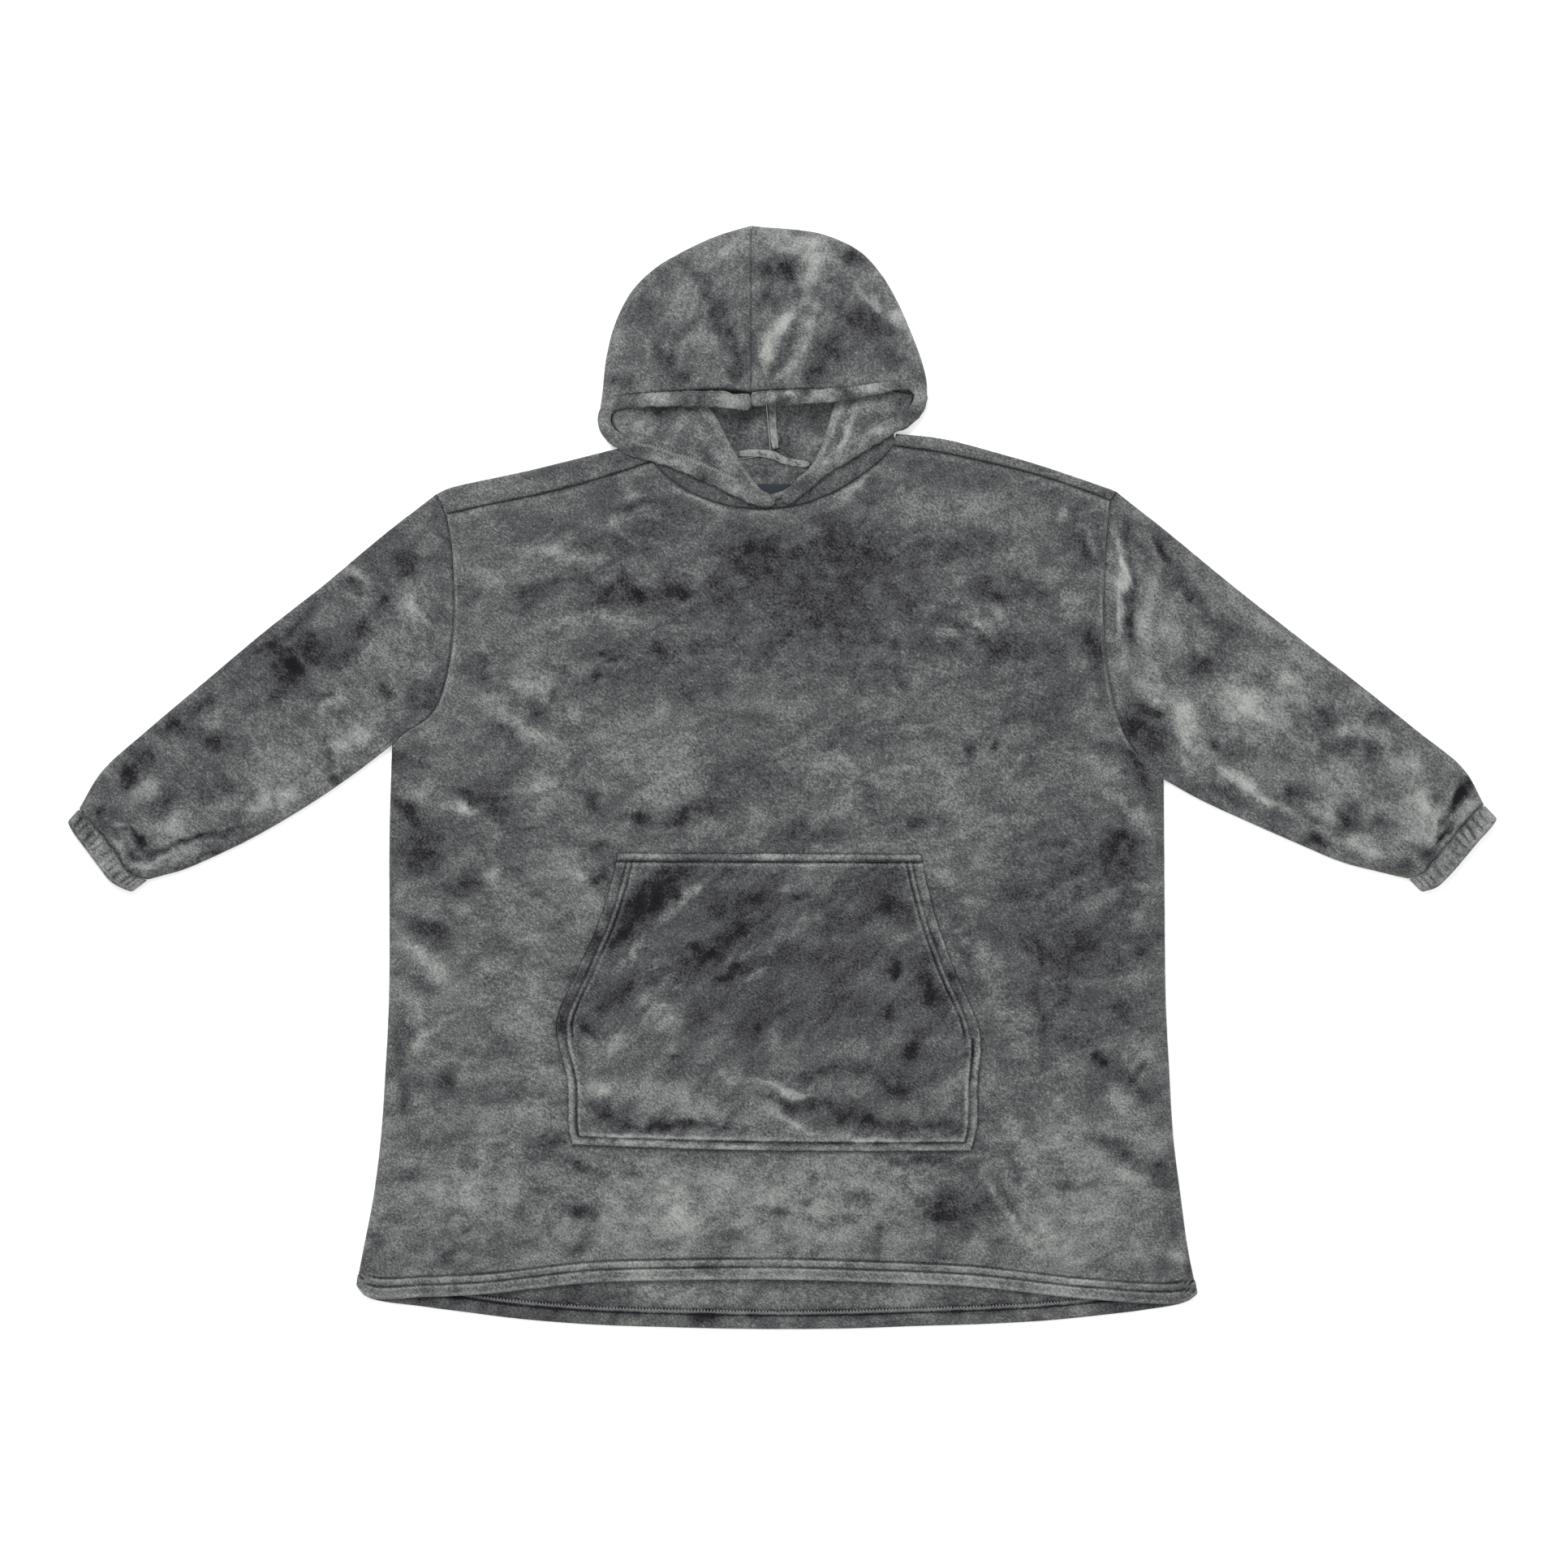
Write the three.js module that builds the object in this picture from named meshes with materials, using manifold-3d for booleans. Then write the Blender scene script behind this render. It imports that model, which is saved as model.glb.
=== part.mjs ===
// An oversized pullover hoodie in plush fleece, laid flat on its back with the sleeves spread.
// Millimetres, X across the garment, Y from the hem to the hood, Z up from the surface it lies on.
// Every piece is a closed wall of cloth: a grid of points down the middle of the cloth, each with
// the direction that faces out of the garment, moved half the cloth's thickness to either side.

import * as THREE from "three";
import { mergeVertices } from "three/addons/utils/BufferGeometryUtils.js";
import Module from "manifold-3d";

const wasm = await Module();
wasm.setup();

// Driving dimensions
const CLOTH = 2.6; // fleece with its pile on both sides
const LAYER_GAP = 1.5; // air between the back and the front where the garment is thinnest
const SEAM_GAP = 0.4; // between two pieces that are sewn together
const HEM_DEPTH = 22; // turned hem of the body
const RIM_DEPTH = 16; // turned hem round the hood's opening
const HEM_EXTRA = 1.1; // how much a turned hem stands proud
const CASING = 4.2; // a cuff's wall: two plies of cloth round the elastic
const CUFF_GATHERS = 11; // on each layer of a cuff
const FRONT_LOFT = 1.5; // how far the middle of a panel stands above its seams
const SEAM_DIP = 0.5; // how far the cloth is drawn down at a seam

const FLOOR_MID = CLOTH / 2;
const TOP_MID = FLOOR_MID + CLOTH + LAYER_GAP;
const EDGE_MID = (FLOOR_MID + TOP_MID) / 2;
const FLAP_MID = TOP_MID + 3.9; // the hood's turned-out front edges lie over the neckline
const HALF_GAP = SEAM_GAP / 2;

// Outlines in plan. The side seams run from the hem up to the underarm, one row for both sides.
const SIDE_SEAMS = [
  { leftX: -420, leftY: -501, rightX: 409, rightY: -509 },
  { leftX: -413, leftY: -464, rightX: 400, rightY: -466 },
  { leftX: -403.5, leftY: -415, rightX: 393, rightY: -415 },
  { leftX: -396, leftY: -355, rightX: 385.5, rightY: -355 },
  { leftX: -391.5, leftY: -290, rightX: 381.5, rightY: -290 },
  { leftX: -388, leftY: -220, rightX: 378, rightY: -220 },
  { leftX: -387.5, leftY: -140, rightX: 377, rightY: -140 },
  { leftX: -387.5, leftY: -60, rightX: 376.5, rightY: -70 },
  { leftX: -385, leftY: 32, rightX: 376, rightY: -2 },
];

// The armhole seams, from the underarm up to the end of the shoulder seam.
const ARMHOLES = [
  { leftX: -385, leftY: 32, rightX: 376, rightY: -2 },
  { leftX: -372, leftY: 45, rightX: 365, rightY: 7 },
  { leftX: -355, leftY: 54, rightX: 351, rightY: 20 },
  { leftX: -343, leftY: 66, rightX: 338, rightY: 40 },
  { leftX: -333, leftY: 90, rightX: 328, rightY: 66 },
  { leftX: -327, leftY: 119, rightX: 321, rightY: 100 },
  { leftX: -324, leftY: 148, rightX: 317, rightY: 135 },
  { leftX: -323, leftY: 176, rightX: 316, rightY: 168 },
  { leftX: -324, leftY: 204, rightX: 317, rightY: 202 },
  { leftX: -326, leftY: 232, rightX: 319, rightY: 238 },
  { leftX: -331, leftY: 260, rightX: 323, rightY: 273 },
];

// The shoulders, from the armhole to the neck. The back folds over the top edge (foldX, foldY)
// and comes down in front to the seam, which lies forward of the fold.
const LEFT_SHOULDER = [
  { seamX: -331, seamY: 260, foldX: -341, foldY: 279.5 },
  { seamX: -320, seamY: 262, foldX: -328, foldY: 285.5 },
  { seamX: -294, seamY: 268, foldX: -300, foldY: 292 },
  { seamX: -247, seamY: 277.5, foldX: -251, foldY: 302.5 },
  { seamX: -200, seamY: 289, foldX: -202, foldY: 314.5 },
  { seamX: -153, seamY: 303.5, foldX: -155, foldY: 326 },
  { seamX: -128, seamY: 312, foldX: -131, foldY: 330.5 },
];
const RIGHT_SHOULDER = [
  { seamX: 109, seamY: 327, foldX: 112, foldY: 339 },
  { seamX: 155, seamY: 320.5, foldX: 158, foldY: 334 },
  { seamX: 202, seamY: 310.5, foldX: 205, foldY: 322 },
  { seamX: 249, seamY: 299, foldX: 252, foldY: 308.5 },
  { seamX: 292, seamY: 285, foldX: 297, foldY: 293.5 },
  { seamX: 312, seamY: 277.5, foldX: 317, foldY: 286.5 },
  { seamX: 323, seamY: 273, foldX: 329, foldY: 282 },
];

// The neck seam in front and behind, from the left neck point to the right one.
const FRONT_NECK = [
  [-128, 312], [-121, 304], [-110, 294], [-94, 282.5], [-74, 274], [-48, 267], [-12.5, 265],
  [12, 268], [38, 276], [61, 287], [82, 301], [100, 316], [109, 327],
];
const BACK_NECK = [
  [-128, 326.5], [-98, 320], [-68, 316], [-40, 314.5], [-11.5, 318.5], [6, 311], [26, 307], [56, 311], [84, 321],
  [109, 334.5],
];

// The hems, from the left side seam to the right one. The back hangs lower than the front.
const FRONT_HEM = [
  [-420, -501], [-409, -512], [-352, -512], [-290, -509], [-238, -503], [-190, -498], [-100, -495.5],
  [0, -495], [90, -497.5], [190, -502], [245, -508], [300, -514], [397, -517], [409, -509],
];
const BACK_HEM = [
  [-420, -501], [-409, -512.4], [-352, -522], [-314, -527], [-258, -534], [-187, -539.5], [-100, -542.5],
  [-20, -544], [60, -543.5], [134, -541], [198, -539], [261, -535.5], [325, -529], [357, -525],
  [397, -517.4], [409, -509],
];

// Sleeves: the folded top edge and the underside edge, from the armhole to the cuff.
const LEFT_SLEEVE = [
  { topX: -341, topY: 279.5, underX: -385, underY: 32 },
  { topX: -394, topY: 238.5, underX: -420, underY: 5 },
  { topX: -452, topY: 190, underX: -470, underY: -29 },
  { topX: -513, topY: 142, underX: -525, underY: -61 },
  { topX: -570, topY: 94, underX: -567, underY: -81 },
  { topX: -627, topY: 46, underX: -592, underY: -91.5 },
  { topX: -671, topY: 6, underX: -612, underY: -97 },
  { topX: -693.3, topY: -30.5, underX: -625, underY: -100.6 },
];
const RIGHT_SLEEVE = [
  { topX: 329, topY: 282, underX: 376, underY: -2 },
  { topX: 384, topY: 238.5, underX: 412, underY: -22 },
  { topX: 443, topY: 190, underX: 462, underY: -45 },
  { topX: 504, topY: 142, underX: 512, underY: -67 },
  { topX: 566, topY: 94, underX: 553, underY: -84 },
  { topX: 626, topY: 46, underX: 588, underY: -93 },
  { topX: 672, topY: 8, underX: 604, underY: -97 },
  { topX: 691.9, topY: -27, underX: 617, underY: -99.6 },
];
// Cuffs, from the top edge to the underside edge: the seam to the sleeve, and the folded end.
const LEFT_CUFF = [
  { seamX: -693.3, seamY: -30.5, endX: -704.8, endY: -43.5 },
  { seamX: -686.3, seamY: -40.5, endX: -698.5, endY: -54.5 },
  { seamX: -676, seamY: -51, endX: -690, endY: -66 },
  { seamX: -665, seamY: -64.5, endX: -681, endY: -78 },
  { seamX: -655, seamY: -77, endX: -672, endY: -90 },
  { seamX: -647.5, seamY: -90, endX: -663.5, endY: -101 },
  { seamX: -638.5, seamY: -97.5, endX: -654, endY: -107.5 },
  { seamX: -625, seamY: -100.6, endX: -641, endY: -113 },
];
const RIGHT_CUFF = [
  { seamX: 691.9, seamY: -27, endX: 704.8, endY: -40.5 },
  { seamX: 685, seamY: -32.5, endX: 697, endY: -51 },
  { seamX: 674.5, seamY: -42.5, endX: 686, endY: -63 },
  { seamX: 663, seamY: -56.5, endX: 676, endY: -75 },
  { seamX: 652, seamY: -70, endX: 666, endY: -87 },
  { seamX: 641, seamY: -84, endX: 656, endY: -98 },
  { seamX: 631, seamY: -95, endX: 645, endY: -108 },
  { seamX: 617, seamY: -99.6, endX: 630, endY: -113 },
];

// The pouch pocket's two sides, from its top edge down past the slanted hand openings.
const POCKET_SIDES = [
  { leftX: -163, leftY: -74, rightX: 137, rightY: -75 },
  { leftX: -166, leftY: -92, rightX: 140, rightY: -92 },
  { leftX: -181, leftY: -142, rightX: 153, rightY: -142 },
  { leftX: -203, leftY: -192, rightX: 171, rightY: -192 },
  { leftX: -223, leftY: -240, rightX: 193, rightY: -243 },
  { leftX: -221, leftY: -262, rightX: 196, rightY: -264 },
  { leftX: -212, leftY: -300, rightX: 193, rightY: -302 },
  { leftX: -211, leftY: -345, rightX: 192, rightY: -345 },
  { leftX: -207, leftY: -362, rightX: 186, rightY: -368 },
];

// Hood ribs, one side after the other: from the upper lip of the opening, over the outer edge of
// the hood and back under it to the neck seam of the back, where no baseY is given. The last rib
// of each side is the centre seam.
const HOOD_LEFT = [
  { lipX: -168, lipY: 356, edgeX: -181, edgeY: 354, baseX: -169, baseY: 349, lipZ: 6.6 },
  { lipX: -158, lipY: 362, edgeX: -177.5, edgeY: 380, baseX: -158, baseY: 342, lipZ: 10 },
  { lipX: -140, lipY: 364, edgeX: -174, edgeY: 412, baseX: -145, baseY: 337, lipZ: 13 },
  { lipX: -120, lipY: 365, edgeX: -165.5, edgeY: 446, baseX: -127, baseY: 332, lipZ: 15.5 },
  { lipX: -100, lipY: 366, edgeX: -149.5, edgeY: 478, baseX: -104, lipZ: 17.5 },
  { lipX: -80, lipY: 367, edgeX: -127, edgeY: 501, baseX: -80, lipZ: 19 },
  { lipX: -62, lipY: 367, edgeX: -99, edgeY: 518, baseX: -58, lipZ: 20 },
  { lipX: -46, lipY: 366, edgeX: -63, edgeY: 534.5, baseX: -34, lipZ: 20.5 },
  { lipX: -31, lipY: 364, edgeX: -31, edgeY: 544, baseX: -11.5, lipZ: 20.5 },
];
const HOOD_RIGHT = [
  { lipX: 130, lipY: 378, edgeX: 142.6, edgeY: 371, baseX: 133, baseY: 360, lipZ: 6.6 },
  { lipX: 118, lipY: 382, edgeX: 142, edgeY: 391, baseX: 124, baseY: 350, lipZ: 10 },
  { lipX: 100, lipY: 379, edgeX: 137, edgeY: 412, baseX: 107, baseY: 342, lipZ: 13 },
  { lipX: 80, lipY: 374, edgeX: 126, edgeY: 441, baseX: 88, lipZ: 15.5 },
  { lipX: 60, lipY: 370, edgeX: 113.5, edgeY: 469, baseX: 70, lipZ: 17.5 },
  { lipX: 40, lipY: 368, edgeX: 98, edgeY: 495.5, baseX: 50, lipZ: 19 },
  { lipX: 18, lipY: 367, edgeX: 76, edgeY: 519, baseX: 28, lipZ: 20 },
  { lipX: -6, lipY: 366, edgeX: 38, edgeY: 536, baseX: 8, lipZ: 20.5 },
  { lipX: -31, lipY: 364, edgeX: -31, edgeY: 544, baseX: -11.5, lipZ: 20.5 },
];

// The hood's front edges, turned out over the neckline: the lip (the cut edge), the roll line it
// folds along, and the neck seam that the ply underneath runs down to. From the centre front up.
const FLAP_LEFT = [
  { lipX: -12.8, lipY: 268.4, rollX: -12.2, rollY: 279, neckX: -13, neckY: 265.1, lift: 0 },
  { lipX: -28, lipY: 268.5, rollX: -22, rollY: 285, neckX: -48, neckY: 267, lift: 0 },
  { lipX: -60, lipY: 285, rollX: -34, rollY: 301, neckX: -74, neckY: 274, lift: 0 },
  { lipX: -90, lipY: 300, rollX: -46, rollY: 319, neckX: -94, neckY: 282.5, lift: 0 },
  { lipX: -112, lipY: 308, rollX: -54, rollY: 334, neckX: -110, neckY: 294, lift: 0 },
  { lipX: -131, lipY: 313.5, rollX: -61, rollY: 348, neckX: -121, neckY: 304, lift: 0 },
  { lipX: -148, lipY: 317.5, rollX: -67, rollY: 358, neckX: -128, neckY: 312, lift: 0 },
  { lipX: -161, lipY: 322.5, rollX: -73, rollY: 367, neckX: -130, neckY: 334, lift: -0.4 },
  { lipX: -172, lipY: 332.5, rollX: -79, rollY: 376, neckX: -141, neckY: 342, lift: -1.6 },
  { lipX: -179.5, lipY: 343, rollX: -86, rollY: 387, neckX: -150, neckY: 352, lift: -3 },
  { lipX: -181, lipY: 356, rollX: -95, rollY: 399, neckX: -154, neckY: 366, lift: -4.1 },
];
const FLAP_RIGHT = [
  { lipX: -12.2, lipY: 268.4, rollX: -11.6, rollY: 279, neckX: -12.4, neckY: 265.1, lift: 0 },
  { lipX: 8, lipY: 275, rollX: 3, rollY: 284, neckX: 12, neckY: 268, lift: 0 },
  { lipX: 33, lipY: 288, rollX: 15, rollY: 293, neckX: 38, neckY: 276, lift: 0 },
  { lipX: 53, lipY: 300, rollX: 25, rollY: 303, neckX: 61, neckY: 287, lift: 0 },
  { lipX: 70, lipY: 311.5, rollX: 33, rollY: 315, neckX: 82, neckY: 301, lift: 0 },
  { lipX: 89, lipY: 325, rollX: 40, rollY: 331, neckX: 100, neckY: 316, lift: 0 },
  { lipX: 106, lipY: 337, rollX: 45, rollY: 347, neckX: 109, neckY: 327, lift: 0 },
  { lipX: 123, lipY: 343.5, rollX: 49, rollY: 362, neckX: 111, neckY: 343, lift: -0.8 },
  { lipX: 136, lipY: 354, rollX: 53, rollY: 376, neckX: 119, neckY: 353, lift: -2.2 },
  { lipX: 142.6, lipY: 373, rollX: 60, rollY: 392, neckX: 124, neckY: 368, lift: -4.1 },
];

const LABEL = { x: -6, y: 277, width: 46, height: 19, thick: 0.5 };

// The largest creases: soft ridges (height above 0) and troughs, each a long bump with its length
// along angle, in degrees from +X, and its width across.
const FRONT_CREASES = [
  { x: 232, y: -440, length: 125, width: 26, angle: -53, height: 1.4 },
  { x: 262, y: -418, length: 110, width: 24, angle: -56, height: -0.7 },
  { x: -200, y: 246, length: 120, width: 22, angle: 0, height: -0.7 },
  { x: -105, y: 262, length: 70, width: 22, angle: -28, height: 1.1 },
  { x: 300, y: 236, length: 60, width: 22, angle: -65, height: 1.1 },
  { x: -345, y: -30, length: 120, width: 30, angle: -70, height: 1.0 },
  { x: 345, y: -70, length: 130, width: 30, angle: 65, height: 1.0 },
  { x: 60, y: 190, length: 170, width: 34, angle: 8, height: 0.9 },
  { x: -60, y: 70, length: 190, width: 38, angle: 15, height: 0.8 },
  { x: 215, y: -150, length: 150, width: 30, angle: -62, height: 1.0 },
  { x: -300, y: -330, length: 170, width: 34, angle: 72, height: 0.9 },
  { x: -40, y: -440, length: 200, width: 34, angle: 4, height: 0.8 },
];
const SLEEVE_CREASES = [
  { x: -560, y: -52, length: 150, width: 26, angle: 22, height: 1.6 },
  { x: -630, y: -52, length: 80, width: 24, angle: -50, height: 1.6 },
  { x: -455, y: 110, length: 130, width: 34, angle: 60, height: 1.0 },
  { x: 338, y: 200, length: 130, width: 22, angle: -86, height: 1.4 },
  { x: 372, y: 170, length: 140, width: 26, angle: -78, height: 1.0 },
  { x: 640, y: -20, length: 100, width: 26, angle: 60, height: 1.7 },
  { x: 520, y: -20, length: 170, width: 32, angle: -32, height: 1.0 },
];
const HOOD_CREASES = [
  { x: -8, y: 425, length: 120, width: 20, angle: 66, height: 2.2 },
  { x: 22, y: 410, length: 90, width: 20, angle: 58, height: 2.0 },
  { x: 80, y: 420, length: 90, width: 26, angle: 40, height: 1.8 },
  { x: -62, y: 420, length: 110, width: 28, angle: -70, height: 1.8 },
  { x: -125, y: 410, length: 80, width: 26, angle: -55, height: 1.5 },
];
const POCKET_CREASES = [
  { x: -120, y: -150, length: 170, width: 30, angle: 45, height: 1.6 },
  { x: -40, y: -170, length: 190, width: 32, angle: 38, height: 1.3 },
  { x: -60, y: -300, length: 250, width: 30, angle: -14, height: 1.5 },
  { x: 110, y: -250, length: 150, width: 34, angle: -60, height: 1.1 },
];

// Plan geometry
const plan = (x, y) => new THREE.Vector2(x, y);
const smooth = (t) => t * t * (3 - 2 * t);
const clamp01 = (t) => Math.min(1, Math.max(0, t));

// A smooth curve through plan points, as count + 1 points at even steps of the table's rows. A
// bias above 1 makes the first steps shorter.
function throughPoints(points, count, bias = 1) {
  const curve = new THREE.CatmullRomCurve3(
    points.map(([x, y]) => new THREE.Vector3(x, y, 0)), false, "centripetal");
  return Array.from({ length: count + 1 }, (_, i) => {
    const p = curve.getPoint((i / count) ** bias);
    return plan(p.x, p.y);
  });
}

// The same curve at the given distances in x, for outlines that run from left to right.
function heightAt(points, x) {
  const curve = throughPoints(points, 160);
  const after = Math.max(1, curve.findIndex((p) => p.x >= x));
  const [a, b] = [curve[after - 1], curve[after]];
  return a.y + (b.y - a.y) * clamp01((x - a.x) / (b.x - a.x || 1));
}

// A table's height at x, straight from one row to the next.
function straightAt(points, x) {
  const after = Math.max(1, points.findIndex((p) => p[0] >= x));
  const [a, b] = [points[after - 1], points[after]];
  return a[1] + (b[1] - a[1]) * clamp01((x - a[0]) / (b[0] - a[0]));
}

// Shares along a run of points by length, from 0 to 1.
function shares(points) {
  const along = [0];
  for (let i = 1; i < points.length; i++) along.push(along[i - 1] + points[i].distanceTo(points[i - 1]));
  return along.map((d) => d / along[along.length - 1]);
}

// Fills the space between four edges that share their corners: rows from low to high, each from
// left to right.
function patch(low, high, left, right) {
  const [u, top] = [shares(low), shares(high)];
  const [v, w] = [shares(left), shares(right)];
  return left.map((_, i) => low.map((__, j) => {
    const rise = v[i] + (w[i] - v[i]) * u[j];
    const run = u[j] + (top[j] - u[j]) * rise;
    const sum = low[j].clone().multiplyScalar(1 - rise).addScaledVector(high[j], rise)
      .addScaledVector(left[i], 1 - run).addScaledVector(right[i], run);
    const corners = low[0].clone().multiplyScalar((1 - run) * (1 - rise))
      .addScaledVector(low[low.length - 1], run * (1 - rise))
      .addScaledVector(high[0], (1 - run) * rise)
      .addScaledVector(high[high.length - 1], run * rise);
    return sum.sub(corners);
  }));
}

// How high a set of creases lifts the cloth at a place.
function creaseHeight(creases, x, y) {
  return creases.reduce((total, c) => {
    const turn = THREE.MathUtils.degToRad(c.angle);
    const [dx, dy] = [x - c.x, y - c.y];
    const along = (dx * Math.cos(turn) + dy * Math.sin(turn)) / (c.length / 2);
    const across = (-dx * Math.sin(turn) + dy * Math.cos(turn)) / (c.width / 2);
    return total + c.height * Math.exp(-(along ** 2) * 1.2 - across ** 2);
  }, 0);
}

// One point of a cloth wall: where it is, which way is out, and how much thicker it is there.
function clothPoint(place, z, out, extra = {}) {
  return { mid: new THREE.Vector3(place.x, place.y, z), out, ...extra };
}
const UP = new THREE.Vector3(0, 0, 1);
const DOWN = new THREE.Vector3(0, 0, -1);

// Points round a folded edge, at angles from -90 (the layer below) to 90 (the layer above).
// inward points from the edge into the piece.
function roundEdge(edge, inward, low, high, angles, half = CLOTH / 2, extra = {}) {
  const radius = (high - low) / 2;
  const centre = edge.clone().addScaledVector(inward, half + radius);
  return angles.map((degrees) => {
    const a = THREE.MathUtils.degToRad(degrees);
    const place = centre.clone().addScaledVector(inward, -radius * Math.cos(a));
    const out = new THREE.Vector3(
      -inward.x * Math.cos(a), -inward.y * Math.cos(a), Math.sin(a));
    return clothPoint(place, (low + high) / 2 + radius * Math.sin(a), out, extra);
  });
}

// A closed wall from a grid of cloth points. present leaves cells out, and wrap joins the last
// column to the first. Each open edge of the cells is closed between the wall's two faces.
function wall(grid, { thick = CLOTH, wrap = false, present = () => true } = {}) {
  const columns = grid[0].length;
  const cellColumns = wrap ? columns : columns - 1;
  const positions = [];
  for (const point of grid.flat()) {
    const half = thick / 2;
    const outer = point.mid.clone().addScaledVector(point.out, half + (point.outer ?? 0));
    const inner = point.mid.clone().addScaledVector(point.out, -half - (point.inner ?? 0));
    positions.push(...outer.toArray(), ...inner.toArray());
  }
  const outerAt = (i, j) => 2 * (i * columns + (j % columns));
  const innerAt = (i, j) => outerAt(i, j) + 1;
  const there = (i, j) => {
    if (i < 0 || i >= grid.length - 1) return false;
    if (wrap) return present(i, (j + cellColumns) % cellColumns);
    return j >= 0 && j < cellColumns && present(i, j);
  };
  const faces = [];
  const quad = (a, b, c, d) => faces.push(a, b, c, a, c, d);
  const side = (i0, j0, i1, j1) => quad(outerAt(i0, j0), innerAt(i0, j0), innerAt(i1, j1), outerAt(i1, j1));
  for (let i = 0; i < grid.length - 1; i++) {
    for (let j = 0; j < cellColumns; j++) {
      if (!there(i, j)) continue;
      quad(outerAt(i, j), outerAt(i, j + 1), outerAt(i + 1, j + 1), outerAt(i + 1, j));
      quad(innerAt(i, j), innerAt(i + 1, j), innerAt(i + 1, j + 1), innerAt(i, j + 1));
      if (!there(i - 1, j)) side(i, j, i, j + 1);
      if (!there(i + 1, j)) side(i + 1, j + 1, i + 1, j);
      if (!there(i, j - 1)) side(i + 1, j, i, j);
      if (!there(i, j + 1)) side(i, j + 1, i + 1, j + 1);
    }
  }
  const used = [...new Set(faces)].sort((a, b) => a - b);
  const renamed = new Map(used.map((old, index) => [old, index]));
  const kept = used.flatMap((old) => positions.slice(3 * old, 3 * old + 3));
  const geometry = new THREE.BufferGeometry();
  geometry.setAttribute("position", new THREE.Float32BufferAttribute(kept, 3));
  geometry.setIndex(faces.map((old) => renamed.get(old)));
  return facingOut(geometry);
}

// Turns the faces round if they point into the solid.
function facingOut(geometry) {
  const at = geometry.getAttribute("position");
  const index = geometry.getIndex().array;
  const corner = [new THREE.Vector3(), new THREE.Vector3(), new THREE.Vector3()];
  let volume = 0;
  for (let i = 0; i < index.length; i += 3) {
    corner.forEach((c, k) => c.fromBufferAttribute(at, index[i + k]));
    volume += corner[0].dot(corner[1].clone().cross(corner[2]));
  }
  if (volume > 0) return geometry;
  const turned = Array.from(index);
  for (let i = 0; i < turned.length; i += 3) [turned[i + 1], turned[i + 2]] = [turned[i + 2], turned[i + 1]];
  geometry.setIndex(turned);
  return geometry;
}

// The library's solid for a geometry, and the geometry for a solid.
function solidOf(geometry) {
  const bare = geometry.clone();
  bare.deleteAttribute("normal");
  bare.deleteAttribute("uv");
  const merged = mergeVertices(bare, 1e-4);
  return new wasm.Manifold(new wasm.Mesh({
    numProp: 3,
    vertProperties: Float32Array.from(merged.attributes.position.array),
    triVerts: Uint32Array.from(merged.index.array),
  }));
}
function geometryOf(solid) {
  const mesh = solid.getMesh();
  const geometry = new THREE.BufferGeometry();
  geometry.setAttribute("position", new THREE.Float32BufferAttribute(mesh.vertProperties, 3));
  geometry.setIndex(Array.from(mesh.triVerts));
  return geometry;
}

// The height of a panel's middle at a place in plan, read off its own grid.
function panelHeight(grid, x, y) {
  const inside = (a, b, c) => {
    const area = (b.x - a.x) * (c.y - a.y) - (c.x - a.x) * (b.y - a.y);
    const s = ((b.x - x) * (c.y - y) - (c.x - x) * (b.y - y)) / area;
    const t = ((c.x - x) * (a.y - y) - (a.x - x) * (c.y - y)) / area;
    if (s < -1e-6 || t < -1e-6 || s + t > 1 + 1e-6) return null;
    return s * a.z + t * b.z + (1 - s - t) * c.z;
  };
  for (let i = 0; i < grid.length - 1; i++) {
    for (let j = 0; j < grid[i].length - 1; j++) {
      const [a, b] = [grid[i][j].mid, grid[i][j + 1].mid];
      const [d, c] = [grid[i + 1][j].mid, grid[i + 1][j + 1].mid];
      const z = inside(a, b, c) ?? inside(a, c, d);
      if (z !== null) return z;
    }
  }
  throw new Error(`no panel at ${x}, ${y}`);
}

const inwardFrom = (edge, next) => next.clone().sub(edge).normalize();
const leftOf = (rows) => rows.map((r) => [r.leftX, r.leftY]);
const rightOf = (rows) => rows.map((r) => [r.rightX, r.rightY]);

// The body

const SIDE_ROWS = 16; // from the hem to the underarm
const NECK_CELLS = FRONT_NECK.length - 1;
const SHOULDER_CELLS = LEFT_SHOULDER.length - 1;
const sideLeft = throughPoints(leftOf(SIDE_SEAMS), SIDE_ROWS);
const sideRight = throughPoints(rightOf(SIDE_SEAMS), SIDE_ROWS);

// Moves an armhole's points off the seam, into the body or into the sleeve.
function besideArmhole(points, into) {
  return points.map((p, i) => {
    const along = points[Math.min(i + 1, points.length - 1)].clone().sub(points[Math.max(i - 1, 0)]);
    const across = plan(-along.y, along.x).normalize();
    if (Math.sign(across.x) !== into) across.negate();
    return p.clone().addScaledVector(across, HALF_GAP);
  });
}
const armholeLeft = leftOf(ARMHOLES).map(([x, y]) => plan(x, y));
const armholeRight = rightOf(ARMHOLES).map(([x, y]) => plan(x, y));

// Shares of the body's width for its columns, with one close beside each side seam.
function columnShares(cells) {
  const corner = 11 / 800;
  return Array.from({ length: cells + 1 }, (_, j) => {
    if (j < 2) return j * corner;
    if (j > cells - 2) return 1 - (cells - j) * corner;
    return j / cells;
  });
}

// The hem, and the line across under the arms where the lower and the upper patch meet.
function bodyLines(cells, hemTable) {
  const low = columnShares(cells).map((t) => armholeLeft[0].clone().lerp(armholeRight[0], t));
  const hem = columnShares(cells).map((t) => {
    const x = sideLeft[0].x + (sideRight[0].x - sideLeft[0].x) * t;
    return plan(x, heightAt(hemTable, x));
  });
  return { low, hem };
}

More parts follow.
